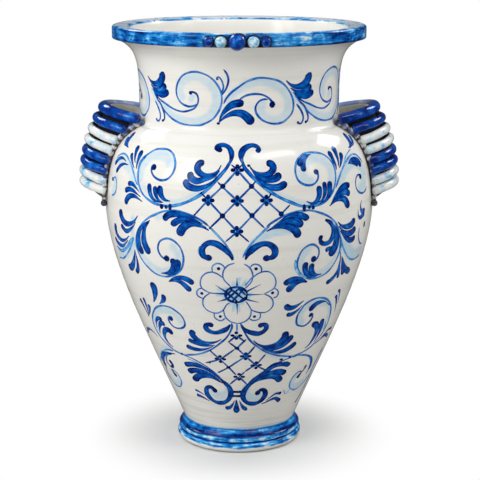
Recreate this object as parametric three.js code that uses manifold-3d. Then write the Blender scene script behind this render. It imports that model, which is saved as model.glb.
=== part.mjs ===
// A two-handled painted jar: foot ring, body, neck and rim band are joined one on another,
// with a row of pearls on the band and a ribbed pocket handle on each shoulder.
// Millimetres, +Z up, front towards -Y. The origin is the middle of the foot, on the ground.
import * as THREE from 'three';
import { mergeVertices } from 'three/addons/utils/BufferGeometryUtils.js';
import Module from 'manifold-3d';

const wasm = await Module();
wasm.setup();

// Joints between pieces that touch: the slip between them is this thick
const JOINT_GAP = 0.3;

// Foot ring: two beads, one on the other, under a short cove
const FOOT_HEIGHT = 26;
const FOOT_BORE_RADIUS = 52;
const FOOT_BEAD_CENTRE_RADIUS = 69.2;
const LOWER_BEAD_RADIUS = 6.2;
const UPPER_BEAD_RADIUS = 4.4;
const BEAD_GROOVE_RADIUS = 71.4;
const COVE_START_RADIUS = 70.6;

// Body: egg-shaped, with a plug under its floor that centres the foot ring
const BODY_HEIGHT = 361;
const WALL = 9;
const BASE_RADIUS = 67;
const BASE_PLUG_DROP = 12;
const FLOOR_THICKNESS = 7;
const FLOOR_CLEARANCE = 1;
const BELLY_RADIUS = 158.4;
const BELLY_ABOVE_BASE = 267.5;
const BASE_FLARE = 31;
const BASE_FLARE_HEIGHT = 76;
const BELLY_SWELL_BELOW = 73;
const BELLY_SWELL_ABOVE = 43;
const SHOULDER_RADIUS = 124;
const SHOULDER_ROUND_OUT = 29;
const SHOULDER_ROUND_DOWN = 17;

// Neck: a slightly waisted drum that flares out to carry the rim band, whose radius comes first
const BAND_RADIUS = 147.3;
const BAND_OVERHANG = 3.8;
const BAND_WIDTH = 23.3;
const NECK_HEIGHT = 97.5;
const NECK_RADIUS = 116.8;
const NECK_BORE_RADIUS = 107.3;
const NECK_FILLET_HEIGHT = 9;
const NECK_STRAIGHT = 63;
const FLARE_RADIUS = BAND_RADIUS - BAND_OVERHANG;
const FLARE_BEND_OUT = 26;
const FLARE_BEND_DOWN = 12;
const MOUTH_RADIUS = BAND_RADIUS - BAND_WIDTH;
const BORE_FLARE_DROP = 40;

// Rim band: a flat outer face and a broad lip that falls a little towards the mouth
const BAND_HEIGHT = 15.5;
const BAND_FACE_HEIGHT = 12.2;
const BAND_LOWER_ROUND = 1.6;
const LIP_ROUND = 5.3;
const LIP_WIDTH = 18.3;
const LIP_CROWN_RADIUS = BAND_RADIUS - LIP_ROUND;
const LIP_INNER_RADIUS = BAND_RADIUS - LIP_WIDTH;
const LIP_FALL = 1.8;

// Pearls on the band, from the middle one outwards, and how far the row stands off centre
const PEARL_DIAMETERS = [18.6, 13, 11];
const PEARL_SPACE = 1.4;
const PEARL_ROW_OFFSET = -2;
const PEARL_STAND_OFF = 1.5;

// Pocket handles: a bent slab with coils laid round it, on the shoulder at -X and at +X
const COIL_COUNT = 8;
const COIL_DIAMETER = 10.4;
const LIP_COIL_DIAMETER = 12.4;
const LIP_COIL_SEAT = 0.7;
const SLAB_THICKNESS = 5;
const HANDLE_TOP_ABOVE_SHOULDER = 4;
const HANDLE_LENGTH = 83;
const HANDLE_REACH_TOP = 165.7;
const HANDLE_REACH_BOTTOM = 189.4;
const HANDLE_BULGE = 2.2;
const HANDLE_HALF_WIDTH_TOP = 56;
const HANDLE_HALF_WIDTH_BOTTOM = 46;
const COIL_RISE_TOP = 13;
const COIL_RISE_BOTTOM = 9;
const POCKET_ROUND_START = 1.04;
const POCKET_FLOOR_DROP = 15;
const POCKET_FLOOR_NARROWING = 0.35;
const SLAB_EMBED = 8;
const SLAB_SLIP = 0.9;
const SEAM_ROLL_RADIUS = 3.3;
const SEAM_TAIL_RADIUS = 4.6;
const POCKET_OPEN_LEVELS = 0.2;

// Facets
const TURN_STEPS = 60;
const OUTSIDE_STEPS = [8, 7];
const INSIDE_STEPS = [6, 5];
const COIL_SIDES = 8;
const COIL_STEPS = 12;
const SEAM_SIDES = 6;
const SEAM_STEPS = 12;
const POCKET_TURN_STEPS = 12;
const POCKET_SIDE_STEPS = 4;
const POCKET_FLOOR_STEPS = 3;
const PEARL_STEPS = 12;
const COIL_END_STEP = 0.004;
const COIL_END_AHEAD = 0.01;

const shoulderZ = FOOT_HEIGHT + BODY_HEIGHT;
const neckTopZ = shoulderZ + NECK_HEIGHT;
const rimTopZ = neckTopZ + BAND_HEIGHT;
const bellyZ = FOOT_HEIGHT + BELLY_ABOVE_BASE;

const glaze = (color, roughness = 0.12) => new THREE.MeshStandardMaterial({ color, roughness, metalness: 0 });
const WHITE_GLAZE = glaze(0xefede8);
const BAND_GLAZE = glaze(0x4d7fb8);
const FOOT_GLAZE = glaze(0x3f86cc);
const COBALT_GLAZE = glaze(0x12307f);
const PALE_GLAZE = glaze(0xdbe9f1);
const BARE_CLAY = glaze(0xaea595, 0.85);
const SEAM_GLAZE = glaze(0xb9bab2, 0.3);

const point = (radius, z) => new THREE.Vector2(radius, z);

// An outline moved sideways by a distance, towards the axis where the distance is positive
function offset(outline, distance) {
  return outline.map((p, i) => {
    const before = outline[Math.max(i - 1, 0)];
    const after = outline[Math.min(i + 1, outline.length - 1)];
    const along = after.clone().sub(before).normalize();
    return point(p.x - along.y * distance, p.y + along.x * distance);
  });
}

// A ring or vessel turned from its outline about +Z
function turned(outline) {
  const geometry = new THREE.LatheGeometry(outline, TURN_STEPS);
  geometry.rotateX(Math.PI / 2);
  return geometry;
}

const closed = (outline) => [...outline, outline[0].clone()];

function toSolid(geometry) {
  const bare = geometry.clone();
  bare.deleteAttribute('normal');
  bare.deleteAttribute('uv');
  const merged = mergeVertices(bare, 1e-4);
  const index = [];
  for (let i = 0; i < merged.index.count; i += 3) {
    const [a, b, c] = [0, 1, 2].map((k) => merged.index.getX(i + k));
    if (a !== b && b !== c && c !== a) index.push(a, b, c);
  }
  const mesh = new wasm.Mesh({
    numProp: 3,
    vertProperties: new Float32Array(merged.attributes.position.array),
    triVerts: new Uint32Array(index),
  });
  return new wasm.Manifold(mesh);
}

function toGeometry(solid) {
  const mesh = solid.getMesh();
  const geometry = new THREE.BufferGeometry();
  geometry.setAttribute('position', new THREE.BufferAttribute(new Float32Array(mesh.vertProperties), 3));
  geometry.setIndex(new THREE.BufferAttribute(new Uint32Array(mesh.triVerts), 1));
  geometry.computeVertexNormals();
  return geometry;
}

function piece(name, geometry, material) {
  const mesh = new THREE.Mesh(geometry, material);
  mesh.name = name;
  return mesh;
}

// Foot ring
function footOutline() {
  const beadAngle = (radius, at) => Math.acos((at - FOOT_BEAD_CENTRE_RADIUS) / radius);
  const lowerEnd = beadAngle(LOWER_BEAD_RADIUS, BEAD_GROOVE_RADIUS);
  const upperStart = beadAngle(UPPER_BEAD_RADIUS, BEAD_GROOVE_RADIUS);
  const upperEnd = beadAngle(UPPER_BEAD_RADIUS, COVE_START_RADIUS);
  const grooveZ = LOWER_BEAD_RADIUS * (1 + Math.sin(lowerEnd));
  const upperZ = grooveZ + UPPER_BEAD_RADIUS * Math.sin(upperStart);
  const bead = (z, radius, from, to) =>
    new THREE.EllipseCurve(FOOT_BEAD_CENTRE_RADIUS, z, radius, radius, from, to).getPoints(5);
  return closed([
    point(FOOT_BORE_RADIUS, 0),
    ...bead(LOWER_BEAD_RADIUS, LOWER_BEAD_RADIUS, -Math.PI / 2, lowerEnd),
    ...bead(upperZ, UPPER_BEAD_RADIUS, -upperStart, upperEnd).slice(1),
    point(BASE_RADIUS, FOOT_HEIGHT),
    point(FOOT_BORE_RADIUS, FOOT_HEIGHT),
  ]);
}

// Outside of the body, from the foot up to the neck
function bodyWall([lowerSteps, upperSteps]) {
  const belly = point(BELLY_RADIUS, bellyZ);
  const lower = new THREE.CubicBezierCurve(
    point(BASE_RADIUS, FOOT_HEIGHT),
    point(BASE_RADIUS + BASE_FLARE, FOOT_HEIGHT + BASE_FLARE_HEIGHT),
    point(BELLY_RADIUS, bellyZ - BELLY_SWELL_BELOW),
    belly,
  );
  const upper = new THREE.CubicBezierCurve(
    belly,
    point(BELLY_RADIUS, bellyZ + BELLY_SWELL_ABOVE),
    point(SHOULDER_RADIUS + SHOULDER_ROUND_OUT, shoulderZ - SHOULDER_ROUND_DOWN),
    point(SHOULDER_RADIUS, shoulderZ),
  );
  return [...lower.getPoints(lowerSteps), ...upper.getPoints(upperSteps).slice(1)];
}

function bodyOutline() {
  const plugZ = FOOT_HEIGHT - BASE_PLUG_DROP;
  const floorZ = FOOT_HEIGHT + FLOOR_THICKNESS;
  const inside = offset(bodyWall(INSIDE_STEPS), WALL)
    .filter((p) => p.x > NECK_BORE_RADIUS || p.y < bellyZ)
    .filter((p) => p.y > floorZ + FLOOR_CLEARANCE)
    .reverse();
  const floorCorner = inside[inside.length - 1].x - WALL;
  return [
    point(0, plugZ),
    point(FOOT_BORE_RADIUS - JOINT_GAP, plugZ),
    point(FOOT_BORE_RADIUS - JOINT_GAP, FOOT_HEIGHT),
    ...bodyWall(OUTSIDE_STEPS),
    point(NECK_BORE_RADIUS, shoulderZ),
    ...inside,
    point(floorCorner, floorZ),
    point(0, floorZ),
  ];
}

// Outside of the neck, from the shoulder up to the rim band
function neckWall() {
  const straightZ = shoulderZ + NECK_FILLET_HEIGHT;
  const fillet = new THREE.EllipseCurve(
    SHOULDER_RADIUS, straightZ, SHOULDER_RADIUS - NECK_RADIUS, NECK_FILLET_HEIGHT,
    -Math.PI / 2, -Math.PI, true,
  );
  const flare = new THREE.CubicBezierCurve(
    point(NECK_RADIUS, straightZ),
    point(NECK_RADIUS, straightZ + NECK_STRAIGHT),
    point(FLARE_RADIUS - FLARE_BEND_OUT, neckTopZ - FLARE_BEND_DOWN),
    point(FLARE_RADIUS, neckTopZ),
  );
  return [...fillet.getPoints(3), ...flare.getPoints(9).slice(1)];
}

function neckOutline() {
  const bore = new THREE.QuadraticBezierCurve(
    point(MOUTH_RADIUS, neckTopZ),
    point(NECK_BORE_RADIUS, neckTopZ - BORE_FLARE_DROP / 2),
    point(NECK_BORE_RADIUS, neckTopZ - BORE_FLARE_DROP),
  );
  return closed([...neckWall(), ...bore.getPoints(4), point(NECK_BORE_RADIUS, shoulderZ)]);
}

// Rim band
function bandOutline() {
  const faceTopZ = neckTopZ + BAND_FACE_HEIGHT;
  const lipRound = new THREE.EllipseCurve(
    LIP_CROWN_RADIUS, faceTopZ, BAND_RADIUS - LIP_CROWN_RADIUS, rimTopZ - faceTopZ, 0, Math.PI / 2,
  );
  const mouthRound = new THREE.QuadraticBezierCurve(
    point(LIP_INNER_RADIUS, rimTopZ - LIP_FALL),
    point(MOUTH_RADIUS + BAND_LOWER_ROUND, rimTopZ - LIP_FALL),
    point(MOUTH_RADIUS, neckTopZ),
  );
  return closed([
    point(BAND_RADIUS - BAND_LOWER_ROUND, neckTopZ),
    point(BAND_RADIUS, neckTopZ + BAND_LOWER_ROUND),
    ...lipRound.getPoints(4),
    ...mouthRound.getPoints(4),
  ]);
}

// One pearl, pressed on to the band at a distance along the rim from the middle of the front
function pearl(diameter, along, bandCutter) {
  const radius = diameter / 2;
  const ball = new THREE.SphereGeometry(radius, PEARL_STEPS, PEARL_STEPS / 2);
  const angle = along / BAND_RADIUS;
  const stand = BAND_RADIUS + PEARL_STAND_OFF;
  ball.translate(
    stand * Math.sin(angle),
    -stand * Math.cos(angle),
    neckTopZ + BAND_FACE_HEIGHT / 2,
  );
  return toGeometry(toSolid(ball).subtract(bandCutter));
}

// Where each pearl of one side stands: the ones further out follow from their sizes
function pearlPlaces() {
  const places = [0];
  for (let i = 1; i < PEARL_DIAMETERS.length; i += 1) {
    const step = (PEARL_DIAMETERS[i - 1] + PEARL_DIAMETERS[i]) / 2 + PEARL_SPACE;
    places.push(places[i - 1] + step);
  }
  return places;
}

// Radius of the outside of body and neck at a height, and the way that it faces there
const outerWall = [...bodyWall(OUTSIDE_STEPS), ...neckWall().slice(1)];

function wallRadius(z) {
  const above = outerWall.findIndex((p) => p.y >= z);
  const [a, b] = [outerWall[above - 1], outerWall[above]];
  return THREE.MathUtils.mapLinear(z, a.y, b.y, a.x, b.x);
}

function wallFacing(z) {
  const span = 4;
  const along = point(wallRadius(z + span) - wallRadius(z - span), 2 * span).normalize();
  return point(along.y, -along.x);
}

// One level of the handle at -X. The level is 0 at the first coil and 1 at the last, and the
// inset is measured inwards from the outer side of the coils. u runs from the front joint round
// to the back one.
function handleLevel(level, inset, tuck = 1) {
  const z = shoulderZ + HANDLE_TOP_ABOVE_SHOULDER - level * HANDLE_LENGTH;
  const bulge = Math.max(1 - level, 0) ** HANDLE_BULGE;
  const reach = THREE.MathUtils.lerp(HANDLE_REACH_BOTTOM, HANDLE_REACH_TOP, bulge) - inset;
  const width = THREE.MathUtils.lerp(HANDLE_HALF_WIDTH_TOP, HANDLE_HALF_WIDTH_BOTTOM, level) - inset;
  const narrowed = width * (1 - POCKET_FLOOR_NARROWING * (1 - tuck));
  const rise = THREE.MathUtils.lerp(COIL_RISE_TOP, COIL_RISE_BOTTOM, level) * tuck;
  const root = Math.sqrt(wallRadius(z) ** 2 - narrowed ** 2);
  const tip = THREE.MathUtils.lerp(root, reach, tuck);
  return (u) => {
    const out = Math.sin(Math.PI * u);
    const x = root - SLAB_EMBED + (tip - root + SLAB_EMBED) * out;
    return new THREE.Vector3(-x, -narrowed * Math.cos(Math.PI * u), z + rise * out);
  };
}

// A coil bent round the slab, from the front seam roll to the back one
class CoilPath extends THREE.Curve {
  constructor(level, radius, seam) {
    super();
    this.at = handleLevel(level, radius);
    this.start = 0;
    while (!this.clears(seam, radius)) this.start += COIL_END_STEP;
  }

  // True if the flat end of the coil lies outside the seam roll
  clears(seam, radius) {
    const end = this.at(this.start);
    const out = this.at(this.start + COIL_END_AHEAD).sub(end).normalize();
    return seam.getPoints(60).every((q) => {
      const toEnd = end.clone().sub(q);
      const ahead = toEnd.dot(out);
      const aside = toEnd.addScaledVector(out, -ahead).length();
      return aside > radius + SEAM_ROLL_RADIUS + JOINT_GAP || ahead > SEAM_ROLL_RADIUS + JOINT_GAP;
    });
  }

  getPoint(u, target = new THREE.Vector3()) {
    return target.copy(this.at(THREE.MathUtils.lerp(this.start, 1 - this.start, u)));
  }
}

function tube(path, radius, sides, steps) {
  const circle = new THREE.Shape();
  circle.absarc(0, 0, radius, 0, 2 * Math.PI);
  const section = new THREE.Shape(circle.getSpacedPoints(sides).slice(0, sides));
  return new THREE.ExtrudeGeometry(section, { steps, extrudePath: path, bevelEnabled: false });
}

// A closed body through rings of equally many points, from the lowest ring to the highest
function lofted(rings) {
  const count = rings[0].length;
  const positions = rings.flat().flatMap((p) => [p.x, p.y, p.z]);
  const index = [];
  for (let ring = 0; ring < rings.length - 1; ring += 1) {
    for (let i = 0; i < count; i += 1) {
      const next = (i + 1) % count;
      const [a, b] = [ring * count + i, ring * count + next];
      index.push(a, b, b + count, a, b + count, a + count);
    }
  }
  const top = (rings.length - 1) * count;
  for (let i = 1; i < count - 1; i += 1) {
    index.push(0, i + 1, i);
    index.push(top, top + i, top + i + 1);
  }
  const geometry = new THREE.BufferGeometry();
  geometry.setAttribute('position', new THREE.Float32BufferAttribute(positions, 3));
  geometry.setIndex(index);
  return geometry;
}

// The space inside an inset of the handle, from the level of its floor up to a top level
function pocketSpace(inset, topLevel, floorDrop) {
  const levels = [];
  const floorLevel = POCKET_ROUND_START + floorDrop / HANDLE_LENGTH;
  for (let i = 0; i <= POCKET_FLOOR_STEPS; i += 1) {
    const angle = (i / POCKET_FLOOR_STEPS) * (Math.PI / 2);
    const level = THREE.MathUtils.lerp(floorLevel, POCKET_ROUND_START, 1 - Math.cos(angle));
    levels.push([level, Math.max(Math.sin(angle), 0.05)]);
  }
  for (let i = 1; i <= POCKET_SIDE_STEPS; i += 1) {
    levels.push([THREE.MathUtils.lerp(POCKET_ROUND_START, topLevel, i / POCKET_SIDE_STEPS), 1]);
  }
  const rings = levels.map(([level, tuck]) => {
    const at = handleLevel(level, inset, tuck);
    return Array.from({ length: POCKET_TURN_STEPS + 1 }, (_, i) => at(1 - i / POCKET_TURN_STEPS));
  });
  return lofted(rings);
}

// The roll of clay smeared along one side of the slab, ending in a pinched tail
class SeamPath extends THREE.Curve {
  constructor(side) {
    super();
    this.side = side;
  }

  getPoint(u, target = new THREE.Vector3()) {
    const floorLevel = POCKET_ROUND_START + POCKET_FLOOR_DROP / HANDLE_LENGTH;
    const level = u * floorLevel;
    const z = shoulderZ + HANDLE_TOP_ABOVE_SHOULDER - level * HANDLE_LENGTH;
    const width = THREE.MathUtils.lerp(HANDLE_HALF_WIDTH_TOP, HANDLE_HALF_WIDTH_BOTTOM, level);
    const y = width - COIL_DIAMETER + SEAM_ROLL_RADIUS + JOINT_GAP;
    const facing = wallFacing(z).multiplyScalar(SEAM_ROLL_RADIUS + JOINT_GAP);
    const radius = wallRadius(z) + facing.x;
    return target.set(-Math.sqrt(radius ** 2 - y ** 2), this.side * y, z + facing.y);
  }
}

function seamRoll(side, wallCutter) {
  const path = new SeamPath(side);
  const roll = toSolid(tube(path, SEAM_ROLL_RADIUS, SEAM_SIDES, SEAM_STEPS));
  const tail = new THREE.SphereGeometry(SEAM_TAIL_RADIUS, SEAM_SIDES, SEAM_SIDES - 1);
  const end = path.getPoint(1);
  tail.translate(end.x, end.y, end.z);
  return toGeometry(roll.add(toSolid(tail).subtract(wallCutter)));
}

// Every piece of one handle, built at -X. The names of front and back follow where it goes.
function handle(name, sides, wallCutter) {
  const group = new THREE.Group();
  const slabTop = (LIP_COIL_DIAMETER / 2 - LIP_COIL_SEAT) / HANDLE_LENGTH;
  const slabInset = COIL_DIAMETER + SLAB_SLIP;
  const slabSpace = toSolid(pocketSpace(slabInset, slabTop, POCKET_FLOOR_DROP));
  const fingerFloorDrop = POCKET_FLOOR_DROP - SLAB_THICKNESS;
  const openTop = slabTop - POCKET_OPEN_LEVELS;
  const fingerSpace = toSolid(pocketSpace(slabInset + SLAB_THICKNESS, openTop, fingerFloorDrop));
  const slab = slabSpace.subtract(fingerSpace).subtract(wallCutter);
  group.add(piece(`${name}_handle_slab`, toGeometry(slab), BARE_CLAY));

  const frontSeam = new SeamPath(-1);
  for (let i = 0; i < COIL_COUNT; i += 1) {
    const radius = (i === 0 ? LIP_COIL_DIAMETER : COIL_DIAMETER) / 2;
    const path = new CoilPath(i / (COIL_COUNT - 1), radius, frontSeam);
    const coil = tube(path, radius, COIL_SIDES, COIL_STEPS);
    group.add(piece(`${name}_handle_coil_${i + 1}`, coil, i % 4 < 2 ? COBALT_GLAZE : PALE_GLAZE));
  }

  [-1, 1].forEach((side, i) => {
    group.add(piece(`${name}_handle_${sides[i]}_seam`, seamRoll(side, wallCutter), SEAM_GLAZE));
  });
  return group;
}

const jar = new THREE.Group();
jar.add(piece('foot_ring', turned(footOutline()), FOOT_GLAZE));
jar.add(piece('thrown_body', turned(bodyOutline()), WHITE_GLAZE));
jar.add(piece('thrown_neck', turned(neckOutline()), WHITE_GLAZE));
jar.add(piece('rim_band', turned(bandOutline()), BAND_GLAZE));

const bandCutter = toSolid(turned(closed([
  point(BAND_RADIUS + JOINT_GAP, neckTopZ - PEARL_DIAMETERS[0]),
  point(BAND_RADIUS + JOINT_GAP, rimTopZ + PEARL_DIAMETERS[0]),
  point(MOUTH_RADIUS, rimTopZ + PEARL_DIAMETERS[0]),
  point(MOUTH_RADIUS, neckTopZ - PEARL_DIAMETERS[0]),
])));
pearlPlaces().forEach((place, i) => {
  const glazeOfPearl = i % 2 === 0 ? COBALT_GLAZE : PALE_GLAZE;
  const add = (name, along) =>
    jar.add(piece(name, pearl(PEARL_DIAMETERS[i], along + PEARL_ROW_OFFSET, bandCutter), glazeOfPearl));
  if (i === 0) {
    add('rim_pearl_middle', 0);
  } else {
    add(`rim_pearl_left_${i}`, -place);
    add(`rim_pearl_right_${i}`, place);
  }
});

// Everything inside the outside of body and neck, a joint's gap larger
const wallCutter = toSolid(turned([
  point(0, FOOT_HEIGHT),
  ...offset(outerWall, -JOINT_GAP),
  point(0, neckTopZ),
]));
jar.add(handle('left', ['front', 'back'], wallCutter));
const rightHandle = handle('right', ['back', 'front'], wallCutter);
rightHandle.rotation.z = Math.PI;
jar.add(rightHandle);

export default jar;
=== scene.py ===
import math

import bpy
import numpy as np
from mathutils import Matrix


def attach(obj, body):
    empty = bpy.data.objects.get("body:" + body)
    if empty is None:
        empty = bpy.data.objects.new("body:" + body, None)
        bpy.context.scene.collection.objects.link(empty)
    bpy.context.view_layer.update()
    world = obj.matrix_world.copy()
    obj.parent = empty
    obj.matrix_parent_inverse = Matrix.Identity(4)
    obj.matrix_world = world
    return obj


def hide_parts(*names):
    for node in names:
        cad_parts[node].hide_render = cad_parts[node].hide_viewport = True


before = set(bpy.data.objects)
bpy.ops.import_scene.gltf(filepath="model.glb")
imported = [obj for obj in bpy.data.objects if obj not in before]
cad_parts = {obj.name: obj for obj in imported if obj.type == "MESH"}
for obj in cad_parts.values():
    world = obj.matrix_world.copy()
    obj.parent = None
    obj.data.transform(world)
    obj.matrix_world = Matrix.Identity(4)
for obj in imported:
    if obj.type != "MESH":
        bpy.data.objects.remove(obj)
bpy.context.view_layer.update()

# Foot ring: red clay turned on the wheel into two beads under a short cove. It is glazed white,
# then brushed bright blue, which runs darker in the grooves and leaves a white edge at the ground.
# A painted contact shadow darkens its lowest edge.
MM = 0.001
FOOT_HEIGHT = 26.0
FOOT_BORE_RADIUS = 52.0
FOOT_BEAD_RADIUS = 69.2
LOWER_BEAD = 6.2
UPPER_BEAD = 4.4
GROOVE_RADIUS = 71.4
COVE_RADIUS = 70.6
BASE_RADIUS = 67.0
SKIN = 0.2
FOOT_CHAMFER = 1.0
GROOVE_POOL = 1.0
COVE_POOL = [(17.4, 0.0), (19.0, 1.0), (20.6, 0.9), (23.0, 0.46), (FOOT_HEIGHT, 0.40)]
# Height of the painted contact shadow at the ground
GROUND_SHADE = 1.2

# Heights between which the blue starts and ends, once clouds have made them waver
WHITE_EDGE_LOW = 11.5
WHITE_EDGE_HIGH = 14.0
WHITE_EDGE_WAVER = 7.0
WHITE_EDGE_STREAK = 6.0
HEM_LOW = 27.0
HEM_HIGH = 32.5
HEM_WAVER = 4.0

TURN_STEPS = 400
CORNER_SIDE = 0.12
CORNER_BEND = -0.87


def mark_points(mesh, name, values):
    """A number at each point of a mesh, which its glaze can read by name."""
    layer = mesh.attributes.new(name, "FLOAT", "POINT")
    layer.data.foreach_set("value", np.asarray(values, np.float32).ravel())


def mesh_piece(name, places, faces, material, attributes=None, smooth=True):
    """A named piece from points in millimetres and faces that already point outwards."""
    mesh = bpy.data.meshes.new(name)
    mesh.from_pydata((np.asarray(places, float) * MM).tolist(), [], faces)
    mesh.update()
    for key, values in (attributes or {}).items():
        mark_points(mesh, key, values)
    mesh.polygons.foreach_set("use_smooth", [smooth] * len(mesh.polygons))
    mesh.materials.append(material)
    piece = bpy.data.objects.new(name, mesh)
    bpy.context.scene.collection.objects.link(piece)
    return piece


def crisp(outline, closed):
    """The outline with a point close to each side of its sharp corners, so that they shade sharp."""
    points = []
    for i, corner in enumerate(outline):
        points.append(corner)
        if not closed and i in (0, len(outline) - 1):
            continue
        back, ahead = outline[i - 1] - corner, outline[(i + 1) % len(outline)] - corner
        back_length, ahead_length = np.linalg.norm(back), np.linalg.norm(ahead)
        if back @ ahead > CORNER_BEND * back_length * ahead_length:
            if back_length > 4 * CORNER_SIDE:
                points.insert(-1, corner + back * CORNER_SIDE / back_length)
            if ahead_length > 4 * CORNER_SIDE:
                points.append(corner + ahead * CORNER_SIDE / ahead_length)
    return np.array(points)


def turned(name, outline, material, steps=TURN_STEPS, attributes=None, closed=True):
    """A piece turned on the wheel from its outline, which runs with the clay on its left."""
    outline = crisp(np.asarray(outline, float), closed)
    angles = np.arange(steps) * 2 * math.pi / steps
    rows = [len(angles) * (radius > 0) + (radius <= 0) for radius in outline[:, 0]]
    starts = np.concatenate([[0], np.cumsum(rows)]).astype(int)
    places = []
    for radius, z in outline:
        ring = angles if radius > 0 else angles[:1]
        level = np.full(len(ring), z)
        places.append(np.column_stack([radius * np.sin(ring), -radius * np.cos(ring), level]))
    faces = []
    count = len(outline) if closed else len(outline) - 1
    for row in range(count):
        after = (row + 1) % len(outline)
        low, high = starts[row], starts[after]
        for i in range(steps):
            j = (i + 1) % steps
            if rows[row] == 1:
                faces.append((int(low), int(high + j), int(high + i)))
            elif rows[after] == 1:
                faces.append((int(low + i), int(low + j), int(high)))
            else:
                faces.append((int(low + i), int(low + j), int(high + j), int(high + i)))
    places = np.concatenate(places)
    layers = {key: rule(places) for key, rule in (attributes or {}).items()}
    return mesh_piece(name, places, faces, material, layers)


def arc(centre, radius, start, end, steps):
    """Points of an arc between two angles, in radians."""
    angles = np.linspace(start, end, steps + 1)
    return np.column_stack([centre[0] + radius * np.cos(angles), centre[1] + radius * np.sin(angles)])


class Wire:
    """One output of a material's tree. Sums and products of wires add Math nodes."""

    def __init__(self, finish, socket):
        self.finish = finish
        self.socket = socket

    def math(self, operation, first, second):
        return self.finish.node("Math", {0: first, 1: second}, operation=operation)

    def __add__(self, other):
        return self.math("ADD", self, other)

    def __sub__(self, other):
        return self.math("SUBTRACT", self, other)

    def __rsub__(self, other):
        return self.math("SUBTRACT", other, self)

    def __mul__(self, other):
        return self.math("MULTIPLY", self, other)

    def __pow__(self, other):
        return self.math("POWER", self, other)

    def eased(self, low, high):
        """0 at low, 1 at high, and a soft step between them."""
        ends = {"Value": self, "From Min": low, "From Max": high}
        return self.finish.node("MapRange", ends, interpolation_type="SMOOTHSTEP")

    __radd__ = __add__
    __rmul__ = __mul__


class Finish:
    """A glaze or clay, or the light round it. Every node of its tree comes from the method node."""

    def __init__(self, name, world=None):
        # A world has a tree of nodes as a material has
        self.material = world or bpy.data.materials.new(name)
        self.material.use_nodes = True
        self.tree = self.material.node_tree
        self.tree.nodes.clear()

    def node(self, kind, inputs=None, out=0, stops=None, **settings):
        """A node whose settings and ramp stops are set first, then its sockets' values or links."""
        made = self.tree.nodes.new("ShaderNode" + kind)
        for key, value in settings.items():
            setattr(made, key, value)
        for i, (place, color) in enumerate(stops or []):
            marks = made.color_ramp.elements
            mark = marks[i] if i < 2 else marks.new(place)
            mark.position = place
            mark.color = (*color, 1)
        for key, value in (inputs or {}).items():
            socket = made.inputs[key]
            if isinstance(value, Wire):
                self.tree.links.new(value.socket, socket)
            elif socket.type == "RGBA":
                socket.default_value = (*value, 1)
            else:
                socket.default_value = value
        return Wire(self, made.outputs[out]) if made.outputs else None

    def place(self, stretch=(1, 1, 1)):
        """Where a point of the piece lies, in metres, stretched by a factor each way."""
        spot = self.node("TexCoord", out="Object")
        return self.node("VectorMath", {0: spot, 1: stretch}, operation="MULTIPLY")

    def height(self):
        return self.node("SeparateXYZ", {0: self.node("TexCoord", out="Object")}, out="Z")

    def cloud(self, scale, detail=2.0, stretch=(1, 1, 1), roughness=0.5, offset=0.0):
        """Soft noise from 0 to 1 in the glaze; an offset gives another cloud of the same kind."""
        spot = self.place(stretch)
        spot = self.node("VectorMath", {0: spot, 1: (offset, offset, offset)}, operation="ADD")
        inputs = {"Vector": spot, "Scale": scale, "Detail": detail, "Roughness": roughness}
        return self.node("TexNoise", inputs)

    def mark(self, name):
        """The number that mark_points left at each point under a name."""
        return self.node("Attribute", out="Fac", attribute_name=name)

    def mix(self, under, over, share):
        return self.node("Mix", {0: share, 6: under, 7: over}, out=2, data_type="RGBA")

    def ramp(self, value, *stops):
        return self.node("ValToRGB", {0: value}, stops=stops)

    def relief(self, height):
        """The way a surface faces where it stands proud by a height in millimetres."""
        return self.node("Bump", {"Height": height, "Distance": MM, "Strength": 1.0})

    def surface(self, color, roughness, facing, **sockets):
        inputs = {"Base Color": color, "Roughness": roughness, "Normal": facing, "IOR": 1.5}
        inputs.update({key.replace("_", " "): value for key, value in sockets.items()})
        shader = self.node("BsdfPrincipled", inputs)
        self.node("OutputMaterial", {"Surface": shader})
        return self.material


def thrown_relief(finish):
    """The fine rings that fingers leave on the wheel, and the slow unevenness of hand-thrown clay."""
    rings = finish.cloud(1.0, 2.0, (3, 3, 170))
    sway = finish.cloud(13.0, 1.0)
    return finish.relief(rings * 0.07 + sway * 0.9)


def hem(finish):
    """How much of the foot's blue is left where it thins out up the wall of the body."""
    edge = finish.height() + finish.cloud(45.0, 3.0) * (HEM_WAVER * MM)
    return 1 - edge.eased(HEM_LOW * MM, HEM_HIGH * MM)


def foot_blue():
    """White glaze with blue brushed over it round the wheel, mottled where the brush ran dry."""
    finish = Finish("foot brushed blue")
    streaks = finish.cloud(1.0, 5.0, (45, 45, 400), 0.60)
    blots = finish.cloud(85.0, 3.0, roughness=0.6)
    pooled = finish.mark("pooled")
    load = streaks.eased(0.32, 0.68) * 0.58 + blots.eased(0.34, 0.66) * 0.38 - 0.16
    load = load * (1 - pooled * 0.6) + pooled * 0.76 - (1 - hem(finish)) * 0.20
    color = finish.ramp(load, (0.02, (0.74, 0.79, 0.80)), (0.18, (0.28, 0.60, 0.86)),
                        (0.36, (0.02, 0.33, 0.76)), (0.58, (0.001, 0.12, 0.48)), (0.88, (0.0, 0.012, 0.13)))
    waver = finish.cloud(60.0, 3.0) * (WHITE_EDGE_WAVER * MM)
    edge = finish.height() + waver + streaks * (WHITE_EDGE_STREAK * MM)
    color = finish.mix(color, (0.84, 0.84, 0.80), 1 - edge.eased(WHITE_EDGE_LOW * MM, WHITE_EDGE_HIGH * MM))
    # Painted contact shadow: the colour goes near black over the last millimetre above the ground
    ground = 1 - finish.height().eased(0.0, GROUND_SHADE * MM)
    color = finish.mix(color, (0.10, 0.085, 0.065), ground * 0.85)
    rough = finish.cloud(120.0, 2.0) * 0.12 + 0.06
    return finish.surface(color, rough, finish.relief(blots * 0.8 + streaks * 0.3))


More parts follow.
